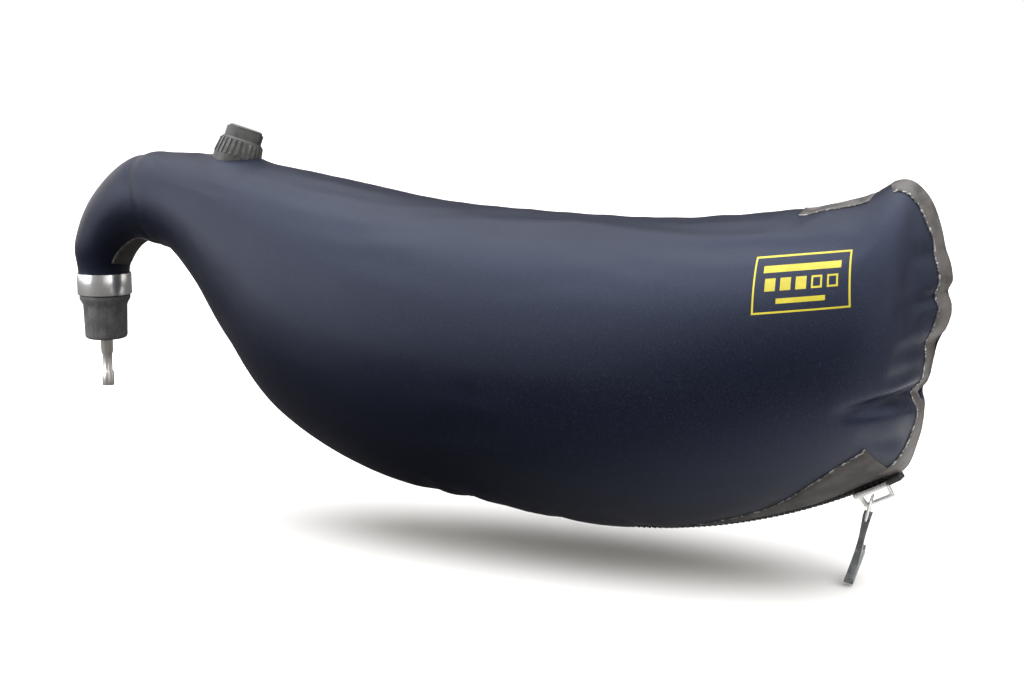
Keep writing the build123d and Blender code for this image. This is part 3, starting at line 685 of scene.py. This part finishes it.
def make_turning():
    """Fine tool marks round an axis: rings by height and by radius."""
    given_names = [("Place", VECTOR, None), ("Pitch", FLOAT, 0.00035)]
    tree, given, out = effect("turning marks", given_names, [("Height", FLOAT)])
    parts = node(tree, "ShaderNodeSeparateXYZ", {0: given.outputs["Place"]})
    radius = node(tree, "ShaderNodeVectorMath", {0: given.outputs["Place"], 1: (1.0, 1.0, 0.0)},
                  operation="MULTIPLY")
    length = node(tree, "ShaderNodeVectorMath", {0: radius.outputs[0]}, operation="LENGTH").outputs["Value"]
    total = plus(tree, parts.outputs[2], length)
    drift = soft_noise(tree, given.outputs["Place"], 90.0)
    phase = plus(tree, math_node(tree, "DIVIDE", total, given.outputs["Pitch"]), drift)
    rings = math_node(tree, "SINE", times(tree, phase, 2 * math.pi))
    tree.links.new(math_node(tree, "MULTIPLY_ADD", rings, 0.5, 0.5), out.inputs["Height"])
    return tree


WEAVE, GRAIN, WEAR, TURNING = make_weave(), make_grain(), make_wear(), make_turning()


def use(tree, group, **inputs):
    """Add one of the shared effects; inputs are values or sockets to link."""
    made = tree.nodes.new("ShaderNodeGroup")
    made.node_tree = group
    for key, value in inputs.items():
        if isinstance(value, bpy.types.NodeSocket):
            tree.links.new(value, made.inputs[key])
        else:
            made.inputs[key].default_value = value
    return made


def material(name, **plain):
    """Material with a Principled shader; plain values go on its own sockets."""
    made = bpy.data.materials.new(name)
    made.use_nodes = True
    shader = made.node_tree.nodes["Principled BSDF"]
    for key, value in plain.items():
        shader.inputs[key.replace("_", " ")].default_value = value
    return made, made.node_tree, shader


def object_place(tree):
    return node(tree, "ShaderNodeTexCoord").outputs["Object"]


def cut_place(tree):
    return node(tree, "ShaderNodeUVMap", uv_map="cut").outputs["UV"]


def bump(tree, shader, height, strength, distance):
    made = node(tree, "ShaderNodeBump", {"Height": height, "Strength": strength, "Distance": distance})
    tree.links.new(made.outputs[0], shader.inputs["Normal"])
    return made


# ---- Finishes -------------------------------------------------------------------------------
REAR_WIDTH, PATCH_WIDTH, NECK_TAPE, ZIP_WIDTH = 13 * MM, 46 * MM, 11 * MM, 25 * MM


def paler(colour, times_as_light):
    return tuple(min(c * times_as_light, 1.0) for c in colour[:3]) + (1.0,)


def fabric_finish():
    """Navy satin nylon: fine weave with painted shade between its threads, soft sheen, faint shade changes.
    """
    made, tree, shader = material("bag_fabric", Specular_IOR_Level=0.38, Sheen_Weight=0.02,
                                  Sheen_Roughness=0.4)
    shader.inputs["Sheen Tint"].default_value = (0.50, 0.60, 1.0, 1.0)
    shader.inputs["Specular Tint"].default_value = (0.60, 0.70, 1.0, 1.0)
    cut, place = cut_place(tree), object_place(tree)
    weave = use(tree, WEAVE, Cut=cut, Pitch=0.00055, Slub=0.9)
    grain = use(tree, GRAIN, Place=place, Size=0.0008, Patch=0.035)
    # painted shade: the weave blends from dark in the gaps between threads to light on their raised tops,
    # plus the yarn's own uneven tone
    dark, light = (0.0018, 0.0026, 0.0085, 1.0), (0.0058, 0.0078, 0.0200, 1.0)
    shade = blend_colours(tree, times(tree, weave.outputs["Shade"], 0.8, clamp=True), dark, light)
    speck = times(tree, grain.outputs["Speckle"], 0.55)
    colour = blend_colours(tree, speck, shade, (0.022, 0.027, 0.055, 1.0))
    tree.links.new(colour, shader.inputs["Base Color"])
    rough = map_range(tree, grain.outputs["Patches"], 0.0, 1.0, 0.31, 0.36)
    tree.links.new(rough, shader.inputs["Roughness"])
    both = plus(tree, weave.outputs["Height"], times(tree, grain.outputs["Height"], 1.2))
    bump(tree, shader, both, 0.55, 0.0001)
    return made


def tape_finish(name, colour, light, width, flecks=1.0):
    """Welded tape: a creased grey film, with pale glue along its edges."""
    made, tree, shader = material(name, Specular_IOR_Level=0.5)
    cut, place = cut_place(tree), object_place(tree)
    grain = use(tree, GRAIN, Place=place, Size=0.0009, Patch=0.009)
    creases = node(tree, "ShaderNodeTexNoise", {"Vector": node(tree, "ShaderNodeMapping", {
        "Vector": cut, "Rotation": (0.0, 0.0, math.radians(35)), "Scale": (420.0, 90.0, 1.0)}).outputs[0],
        "Scale": 1.0, "Detail": 3.0})
    base = blend_colours(tree, grain.outputs["Patches"], colour, light)
    base = blend_colours(tree, times(tree, grain.outputs["Speckle"], 0.35), base, paler(light, 1.7))
    across = math_node(tree, "ABSOLUTE", node(tree, "ShaderNodeSeparateXYZ", {0: cut}).outputs[1])
    wander = math_node(tree, "SUBTRACT", soft_noise(tree, place, 260.0, 3.0), 0.5)
    line = plus(tree, across, times(tree, wander, 0.0022))
    at_edge = map_range(tree, line, width - 0.0015, width - 0.0006)
    broken = soft_noise(tree, place, 520.0, 5.0, 0.7)
    glue = times(tree, times(tree, at_edge, map_range(tree, broken, 0.50, 0.60)), flecks)
    base = blend_colours(tree, glue, base, (0.55, 0.55, 0.53, 1.0))
    tree.links.new(base, shader.inputs["Base Color"])
    tree.links.new(map_range(tree, grain.outputs["Patches"], 0.0, 1.0, 0.42, 0.6), shader.inputs["Roughness"])
    height = plus(tree, times(tree, creases.outputs[0], 0.8), times(tree, grain.outputs["Height"], 0.3))
    bump(tree, shader, plus(tree, height, times(tree, glue, 0.6)), 0.6, 0.0004)
    return made


def zip_tape_finish():
    """Knitted zip tape: ribs along the chain, in a dark brown-grey, with painted shade between its threads.
    """
    made, tree, shader = material("zip_tape_cloth", Roughness=0.72, Specular_IOR_Level=0.35)
    cut, place = cut_place(tree), object_place(tree)
    weave = use(tree, WEAVE, Cut=cut, Pitch=0.0007, Slub=0.5)
    grain = use(tree, GRAIN, Place=place, Size=0.001, Patch=0.012)
    # the third colour is painted light: the paler tone of the raised threads' tops
    dark, light, lit_thread_tone = (0.030, 0.027, 0.027, 1.0), (0.062, 0.057, 0.055, 1.0), (0.10, 0.095, 0.09, 1.0)
    base = blend_colours(tree, grain.outputs["Patches"], dark, light)
    # painted shade: raised threads blended paler, the gaps between them left darker, plus the yarn's own
    # uneven tone
    base = blend_colours(tree, times(tree, weave.outputs["Shade"], 0.5, clamp=True), base, lit_thread_tone)
    across = math_node(tree, "ABSOLUTE", node(tree, "ShaderNodeSeparateXYZ", {0: cut}).outputs[1])
    broken = soft_noise(tree, place, 420.0, 5.0, 0.7)
    glue = times(tree, map_range(tree, across, ZIP_WIDTH - 0.0014, ZIP_WIDTH - 0.0004),
                 map_range(tree, broken, 0.52, 0.60))
    base = blend_colours(tree, glue, base, (0.42, 0.42, 0.40, 1.0))
    tree.links.new(base, shader.inputs["Base Color"])
    bump(tree, shader, weave.outputs["Height"], 0.7, 0.0002)
    return made


def moulded_finish(name, dark, light, rough, size=0.0005, wear=None, strength=0.35):
    """Moulded plastic or rubber: fine grain, slow patches, edges rubbed paler."""
    made, tree, shader = material(name)
    place = object_place(tree)
    grain = use(tree, GRAIN, Place=place, Size=size, Patch=0.008)
    base = blend_colours(tree, grain.outputs["Patches"], dark, light)
    base = blend_colours(tree, times(tree, grain.outputs["Speckle"], 0.25), base, paler(light, 2.2))
    if wear:
        rubbed = use(tree, WEAR, Place=place)
        base = blend_colours(tree, times(tree, rubbed.outputs["Mask"], 0.8), base, wear)
    tree.links.new(base, shader.inputs["Base Color"])
    tree.links.new(map_range(tree, grain.outputs["Patches"], 0.0, 1.0, rough - 0.06, rough + 0.06),
                   shader.inputs["Roughness"])
    bump(tree, shader, grain.outputs["Height"], strength, 0.00012)
    return made


def metal_finish(name, bright, dull, rough, pitch=0.00035, strength=0.12, grime=0.25, spread=0.12):
    """Metal with tool marks, faint stains and a little grime."""
    made, tree, shader = material(name, Metallic=0.85)
    place = object_place(tree)
    grain = use(tree, GRAIN, Place=place, Size=0.0007, Patch=0.006)
    marks = use(tree, TURNING, Place=place, Pitch=pitch)
    base = blend_colours(tree, times(tree, grain.outputs["Patches"], grime), bright, dull)
    tree.links.new(base, shader.inputs["Base Color"])
    tree.links.new(map_range(tree, grain.outputs["Patches"], 0.0, 1.0, rough, rough + spread),
                   shader.inputs["Roughness"])
    height = plus(tree, marks.outputs["Height"], times(tree, grain.outputs["Height"], 0.5))
    bump(tree, shader, height, strength, 0.00006)
    return made


def print_finish():
    """Yellow ink, a little worn."""
    made, tree, shader = material("label_print", Roughness=0.45)
    grain = use(tree, GRAIN, Place=object_place(tree), Size=0.0008, Patch=0.01)
    base = blend_colours(tree, grain.outputs["Patches"], (0.46, 0.385, 0.010, 1.0), (0.54, 0.46, 0.018, 1.0))
    base = blend_colours(tree, times(tree, grain.outputs["Speckle"], 0.3), base, (0.30, 0.25, 0.02, 1.0))
    tree.links.new(base, shader.inputs["Base Color"])
    bump(tree, shader, grain.outputs["Height"], 0.3, 0.0001)
    return made


NAVY = fabric_finish()
TAPE_GREY = (0.046, 0.041, 0.040, 1.0)
TAPE_PALE = (0.088, 0.081, 0.077, 1.0)
PATCH_GREY, PATCH_PALE = (0.040, 0.036, 0.036, 1.0), (0.078, 0.072, 0.070, 1.0)
NECK_GREY = (0.045, 0.041, 0.041, 1.0)
TAPE_FILM = tape_finish("seam_tape", TAPE_GREY, TAPE_PALE, REAR_WIDTH)
PATCH_FILM = tape_finish("patch_film", PATCH_GREY, PATCH_PALE, PATCH_WIDTH)
NECK_FILM = tape_finish("neck_tape", NECK_GREY, PATCH_PALE, NECK_TAPE, 0.3)
ZIP_CLOTH = zip_tape_finish()
BLACK_NYLON = moulded_finish("zip_nylon", (0.012, 0.012, 0.013, 1.0), (0.026, 0.026, 0.027, 1.0), 0.38)
RUBBER = moulded_finish("bung_rubber", (0.095, 0.095, 0.098, 1.0), (0.150, 0.150, 0.154, 1.0), 0.62,
                        size=0.0007, strength=0.5)
COLLAR_RUBBER = moulded_finish("collar_rubber", (0.030, 0.031, 0.030, 1.0), (0.055, 0.056, 0.054, 1.0), 0.5,
                               wear=(0.16, 0.16, 0.15, 1.0))
PULL_PLASTIC = moulded_finish("pull_plastic", (0.052, 0.057, 0.062, 1.0), (0.082, 0.088, 0.094, 1.0), 0.42,
                              wear=(0.24, 0.25, 0.26, 1.0))
BRIGHT = metal_finish("slider_plating", (0.72, 0.72, 0.71, 1.0), (0.42, 0.41, 0.39, 1.0), 0.24)
STEEL = metal_finish("polished_steel", (0.86, 0.87, 0.88, 1.0), (0.80, 0.80, 0.80, 1.0), 0.22,
                     0.0009, 0.03, 0.1, 0.03)
ALLOY = metal_finish("turned_alloy", (0.80, 0.79, 0.76, 1.0), (0.58, 0.56, 0.52, 1.0), 0.30, 0.0004, 0.3)
BRASS = metal_finish("brass", (0.72, 0.53, 0.25, 1.0), (0.45, 0.31, 0.13, 1.0), 0.28)
PRINT = print_finish()


# ---- The bag's three pieces of fabric --------------------------------------------------------
def cut_bag():
    """Part the blown-up form into its two panels and its neck sleeve, by material slot."""
    for name in ("near", "far", "neck"):
        bag_form.data.materials.append(bpy.data.materials.new("part_" + name))
    take(bag_form)
    bpy.ops.object.mode_set(mode="EDIT")
    bpy.ops.mesh.separate(type="MATERIAL")
    bpy.ops.object.mode_set(mode="OBJECT")
    pieces = list(bpy.context.selected_objects)
    for piece in pieces:
        centre = sum((v.co for v in piece.data.vertices), Vector()) / len(piece.data.vertices)
        name, stands_for = "neck_sleeve_fabric", "neck_sleeve"
        if centre.x > 60 * MM:
            near = centre.y < 0
            name = "near_panel_fabric" if near else "far_panel_fabric"
            stands_for = "body_panel_near" if near else "body_panel_far"
        piece.name = name
        face_away(piece, centre)
        finish_piece(piece, "bag", "bag_fabric", NAVY, stands_for)
    return pieces


cut_bag()


# ---- Tapes ------------------------------------------------------------------------------------
BACK_TAPE_FROM, UNDER_TAPE_FROM = 457 * MM, 503 * MM      # where the rear seam's tape starts and ends, in x
ZIP_FROM, ZIP_TO = 268 * MM, 512 * MM                     # the strips over the zip's two tapes, in x
PATCH_FROM, PATCH_PAST_ZIP, PATCH_TOP = 499 * MM, 512.5 * MM, -36 * MM
CHAIN_HALF = 5.6 * MM                     # beside the zip's teeth the patch leaves this much free
NECK_TAPE_FROM = 1.33                     # a place along the bag, in stations
NECK_INSIDE = Vector((-5 * MM, 0, 70 * MM))
BITE, FILM = 0.2 * MM, 0.7 * MM
PATCH_BITE, THIN_FILM = 1.1 * MM, 0.6 * MM                # the patch lies under the fabric, along its inside


def mirrored(cuts):
    """The cuts on the near side, the seam, and the same cuts on the far side."""
    return [-c for c in reversed(cuts)] + [0.0] + cuts


def rear_line():
    """The rear seam, from the back over the corner and down the end to the zip's dock."""
    back = [p for p in seam_line("back") if p.x > BACK_TAPE_FROM]
    under = [p for p in seam_line("belly") if p.x > UNDER_TAPE_FROM][::-1]
    return resample(back + seam_line("end") + under, 2.2 * MM)


def corner_line(start):
    """The seam from start round the lower rear corner to the patch's top."""
    return resample([p for p in seam_line("belly") if p.x > start and p.z < PATCH_TOP], 2 * MM)


def rear_scale(point):
    """The rear tape was cut by hand: its edge wanders, apart from the top of the bag."""
    wander = noise.noise(Vector((point.x, 0.0, point.z)) * 45.0)
    return 0.98 + 0.30 * wander * (1.0 - ease(point.z, 60 * MM, 75 * MM))


def patch_scale(point):
    """The patch narrows up the rear end."""
    return 1.0 - 0.52 * ease(point.z, -62 * MM, -44 * MM)


def zip_scale(point):
    """The strip over the zip's tape widens towards the closed end."""
    return 0.55 + 0.45 * ease(point.x, 360 * MM, 430 * MM) + 0.55 * ease(point.x, 440 * MM, 500 * MM)


def make_tapes():
    cuts = mirrored([0.9 * MM, 2.2 * MM, 4.5 * MM, 7 * MM, 10 * MM, REAR_WIDTH])
    rear = seam_strip("rear_tape", rear_line(), cuts, BITE, FILM, scale=rear_scale)
    finish_piece(rear, "bag", "seam_tape", TAPE_FILM, "rear_seam_tape", "back_end_tape")

    chain = resample([p for p in seam_line("belly") if ZIP_FROM < p.x < ZIP_TO], 3 * MM)
    side = [2.2 * MM, 4 * MM, 7 * MM, 11 * MM, 15 * MM, 20 * MM, ZIP_WIDTH]
    for name, sign in (("near", -1), ("far", 1)):
        tape = seam_strip("zip_cloth_" + name, chain, [sign * c for c in side], BITE, FILM, scale=zip_scale)
        finish_piece(tape, "bag", "seam_tape", ZIP_CLOTH, "zip_tape_" + name)

    corner = corner_line(PATCH_FROM)
    side = [CHAIN_HALF, 9 * MM, 13 * MM, 18 * MM, 24 * MM, 31 * MM, 38 * MM, PATCH_WIDTH]
    for name, sign in (("near", -1), ("far", 1)):
        patch = seam_strip("corner_patch_" + name, corner, [sign * c for c in side], PATCH_BITE, THIN_FILM,
                           scale=patch_scale)
        finish_piece(patch, "bag", "seam_tape", PATCH_FILM, "corner_patch")
    cuts = [-CHAIN_HALF, -3 * MM, -1 * MM, 1 * MM, 3 * MM, CHAIN_HALF]
    patch = seam_strip("corner_patch_middle", corner_line(PATCH_PAST_ZIP), cuts, PATCH_BITE, THIN_FILM)
    finish_piece(patch, "bag", "seam_tape", PATCH_FILM, "corner_patch")

    bend = resample([row[BELLY] for row, u in zip(GRID, PLACES) if NECK_TAPE_FROM < u < NECK], 2.2 * MM)
    cuts = mirrored([2.5 * MM, 5 * MM, 8 * MM, NECK_TAPE])
    neck = seam_strip("neck_bend_tape", bend, cuts, BITE, THIN_FILM, NECK_INSIDE)
    finish_piece(neck, "bag", "seam_tape", NECK_FILM, "neck_seam_tape")


make_tapes()

# ---- Printed label: a frame round a five-step scale, three steps filled ------------------------
LABEL = Vector((470.5 * MM, 0, 37.0 * MM))
LABEL_SIZE = (46.8, 27.0)                 # millimetres
LABEL_TILT = math.radians(6.4)
LINE = 0.9                                # width of the print's thin lines, in millimetres
STEPS, FILLED = 5, 3
PRINT_BITE, PRINT_THICK = 0.12 * MM, 0.15 * MM
PRINT_CELL = 1.2                          # the print is cut this fine, in millimetres, to lie on the curve


def outline_bars(x, wide, tall):
    """The four thin bars round a box centred at x."""
    return [(x, tall / 2 - LINE / 2, wide, LINE), (x, LINE / 2 - tall / 2, wide, LINE),
            (x - wide / 2 + LINE / 2, 0, LINE, tall - 2 * LINE),
            (x + wide / 2 - LINE / 2, 0, LINE, tall - 2 * LINE)]


def print_bars():
    """Rectangles of the print: centre x, centre z, width, height, in millimetres on the label."""
    w, h = LABEL_SIZE
    bars = outline_bars(0.0, w, h) + [(0, h * 0.27, w * 0.8, h * 0.12), (0, -h * 0.29, w * 0.5, h * 0.09)]
    wide, tall = w * 0.11, h * 0.22
    for i in range(STEPS):
        x = (i - STEPS // 2) * w * 0.16
        bars += [(x, 0, wide, tall)] if i < FILLED else outline_bars(x, wide, tall)
    return bars


def make_label():
    """The print as one thin film, cut fine enough to follow the bag."""
    points, faces = [], []
    turn = Matrix.Rotation(-LABEL_TILT, 3, "Y")
    for cx, cz, wide, tall in print_bars():
        across, up = max(int(wide / PRINT_CELL), 1), max(int(tall / PRINT_CELL), 1)
        first = len(points)
        for a in range(across + 1):
            for b in range(up + 1):
                spot = Vector((cx - wide / 2 + wide * a / across, 0, cz - tall / 2 + tall * b / up)) * MM
                spot = LABEL + turn @ spot
                point, normal = wall(spot.x, spot.z, -1)
                points.append(point + normal * PRINT_BITE)
        for a in range(across):
            for b in range(up):
                p = first + a * (up + 1) + b
                faces.append((p, p + 1, p + up + 2, p + up + 1))
    mesh = bpy.data.meshes.new("label_print")
    mesh.from_pydata([tuple(p) for p in points], [], faces)
    mesh.update()
    obj = bpy.data.objects.new("label_print", mesh)
    bpy.context.collection.objects.link(obj)
    face_away(obj, LABEL)
    apply_modifier(obj, "SOLIDIFY", thickness=PRINT_THICK, offset=1.0)
    finish_piece(obj, "bag", "print_film", PRINT, "size_label")


make_label()


# ---- Hard parts: merged copies of the frame's own shapes, with rounded edges --------------------
WELD, FLAT_ANGLE, EDGE_ANGLE, SMOOTH_ANGLE = 0.01 * MM, 1.5, 35.0, 42.0    # angles in degrees


def rounded_copy(source, name, body, slot, finish, edge):
    """A merged copy of a node with its flat faces joined and its edges rounded by edge, in millimetres."""
    obj = frame["nodes"][source].copy()
    obj.data = frame["nodes"][source].data.copy()
    obj.name = obj.data.name = name
    bpy.context.collection.objects.link(obj)
    place = obj.matrix_world.copy()
    obj.parent = None
    obj.matrix_world = place
    take(obj)
    bpy.ops.object.transform_apply(location=True, rotation=True, scale=True)
    bpy.ops.object.mode_set(mode="EDIT")
    bpy.ops.mesh.select_all(action="SELECT")
    bpy.ops.mesh.remove_doubles(threshold=WELD)
    bpy.ops.mesh.dissolve_limited(angle_limit=math.radians(FLAT_ANGLE))
    bpy.ops.mesh.select_all(action="SELECT")
    bpy.ops.mesh.customdata_custom_splitnormals_clear()
    bpy.ops.object.mode_set(mode="OBJECT")
    if edge:
        apply_modifier(obj, "BEVEL", width=edge * MM, segments=2, limit_method="ANGLE",
                       angle_limit=math.radians(EDGE_ANGLE), harden_normals=False, use_clamp_overlap=True)
    smooth(obj, SMOOTH_ANGLE)
    finish_piece(obj, body, slot, finish, source)


# Node, body it rides on, slot, finish, and its edges' rounding in millimetres
HARD = (
    ("blowpipe_collar", "bag", "rubber", COLLAR_RUBBER, 0.25),
    ("blowpipe_stopper", "blowpipe_stopper", "rubber", COLLAR_RUBBER, 0.25),
    ("zip_slider", "zip_slider", "bright_metal", BRIGHT, 0.3),
    ("pull_ring", "pull_ring", "bright_metal", BRIGHT, 0.0),
    ("pull_handle", "pull_handle", "pull_plastic", PULL_PLASTIC, 0.35),
    ("zip_dock", "bag", "zip_plastic", BLACK_NYLON, 0.3),
    ("zip_end_stop", "bag", "zip_plastic", BLACK_NYLON, 0.3),
    ("zip_teeth_near", "bag", "zip_plastic", BLACK_NYLON, 0.25),
    ("zip_teeth_far", "bag", "zip_plastic", BLACK_NYLON, 0.25),
    ("clamp_band", "bag", "polished_steel", STEEL, 0.2),
    ("clamp_housing", "bag", "polished_steel", STEEL, 0.3),
    ("clamp_screw", "clamp_screw", "polished_steel", STEEL, 0.15),
    ("neck_bung", "bag", "rubber", RUBBER, 0.3),
    ("valve_stem", "bag", "turned_alloy", ALLOY, 0.2),
    ("valve_nut", "bag", "brass_parts", BRASS, 0.2),
)
for source, body, slot, finish, edge in HARD:
    rounded_copy(source, source + "_made", body, slot, finish, edge)


def coat(node_name, finish):
    """Give a node of the frame itself a finish: the pieces that nothing replaces."""
    obj = frame["nodes"][node_name]
    obj.data.materials.clear()
    obj.data.materials.append(finish)


for source, finish in (("neck_joint_tape", TAPE_FILM), ("back_seam_tape", TAPE_FILM),
                       ("chest_seam_tape", TAPE_FILM), ("collar_backing_ring", COLLAR_RUBBER),
                       ("valve_washer", ALLOY), ("valve_core", BRASS), ("valve_pin", BRASS),
                       ("valve_spring", STEEL)):
    coat(source, finish)


# ---- Floor, light and camera -------------------------------------------------------------------
FLOOR_Z = cad_box[0][2] - 1.5 * MM
UNDER_BAG = (0.3, 0.06, FLOOR_Z)
TARGET = Vector((0.290, 0.0, -0.012))
AZIMUTH, ELEVATION, DISTANCE = math.radians(25.0), math.radians(9.0), 0.914


def make_floor():
    """White paper that throws little light back on the bag from further off."""
    clear_selection()
    bpy.ops.mesh.primitive_grid_add(size=14.0, x_subdivisions=8, y_subdivisions=8,
                                    location=(0.3, 0.0, FLOOR_Z))
    floor = bpy.context.active_object
    floor.name = "floor"
    made, tree, shader = material("floor_paper", Roughness=0.75, Specular_IOR_Level=0.3)
    grain = use(tree, GRAIN, Place=object_place(tree), Size=0.002, Patch=0.4)
    grey, white, dim = (0.830, 0.812, 0.792, 1.0), (0.86, 0.842, 0.822, 1.0), (0.04, 0.036, 0.032, 1.0)
    paper = blend_colours(tree, grain.outputs["Patches"], grey, white)
    apart = node(tree, "ShaderNodeVectorMath", {0: object_place(tree), 1: UNDER_BAG},
                 operation="DISTANCE").outputs["Value"]
    unseen = math_node(tree, "SUBTRACT", 1.0, node(tree, "ShaderNodeLightPath").outputs["Is Camera Ray"])
    room = times(tree, map_range(tree, apart, 0.10, 0.42), unseen)
    tree.links.new(blend_colours(tree, room, paper, dim), shader.inputs["Base Color"])
    floor.data.materials.append(made)


def make_world():
    """A soft dome: bright overhead, dim near the horizon, plain white to the eye."""
    world = bpy.data.worlds.new("studio")
    bpy.context.scene.world = world
    world.use_nodes = True
    tree = world.node_tree
    tree.nodes.clear()
    parts = node(tree, "ShaderNodeSeparateXYZ", {0: node(tree, "ShaderNodeTexCoord").outputs["Generated"]})
    across, forward, height = parts.outputs
    share = map_range(tree, height, 0.45, 0.80)
    colour = blend_colours(tree, share, (1.0, 0.96, 0.92, 1.0), (0.97, 0.985, 1.0, 1.0))
    sides = map_range(tree, math_node(tree, "ABSOLUTE", across), 0.45, 0.90, 0.0, 1.25)
    above = math_node(tree, "GREATER_THAN", height, -0.02)
    low_part = times(tree, times(tree, sides, above), math_node(tree, "SUBTRACT", 1.0, share))
    top = plus(tree, height, times(tree, forward, -0.05))
    power = plus(tree, map_range(tree, top, 0.60, 0.92, 0.16, 5.0), low_part)
    light = node(tree, "ShaderNodeBackground", {0: colour, 1: power})
    seen = node(tree, "ShaderNodeBackground", {0: (1.0, 1.0, 1.0, 1.0), 1: 1.0})
    path = node(tree, "ShaderNodeLightPath")
    both = node(tree, "ShaderNodeMixShader", {0: path.outputs["Is Camera Ray"], 1: light.outputs[0],
                                              2: seen.outputs[0]})
    node(tree, "ShaderNodeOutputWorld", {0: both.outputs[0]})


def make_lamp(name, place, aim, size, power):
    """A square lamp, of size metres and power watts, turned to its aim."""
    data = bpy.data.lights.new(name, "AREA")
    data.shape, data.size, data.energy = "SQUARE", size, power
    lamp = bpy.data.objects.new(name, data)
    bpy.context.collection.objects.link(lamp)
    lamp.location = place
    lamp.rotation_euler = (Vector(aim) - Vector(place)).to_track_quat("-Z", "Y").to_euler()


def make_camera():
    data = bpy.data.cameras.new("camera")
    data.lens, data.sensor_width = 56.25, 36.0
    data.clip_start, data.clip_end = 0.01, 50.0
    camera = bpy.data.objects.new("camera", data)
    bpy.context.collection.objects.link(camera)
    back = Vector((math.sin(AZIMUTH) * math.cos(ELEVATION), -math.cos(AZIMUTH) * math.cos(ELEVATION),
                   math.sin(ELEVATION)))
    camera.location = TARGET + back * DISTANCE
    camera.rotation_euler = (-back).to_track_quat("-Z", "Y").to_euler()
    bpy.context.scene.camera = camera


make_floor()
make_world()
make_lamp("neck_lamp", (-0.40, -0.50, 0.24), (0.04, 0.0, 0.03), size=0.45, power=3.2)
make_lamp("rear_lamp", (1.02, -0.30, 0.24), (0.52, 0.0, 0.0), size=0.40, power=1.3)
make_camera()
bpy.context.scene.view_settings.view_transform = "Standard"

clear_selection()
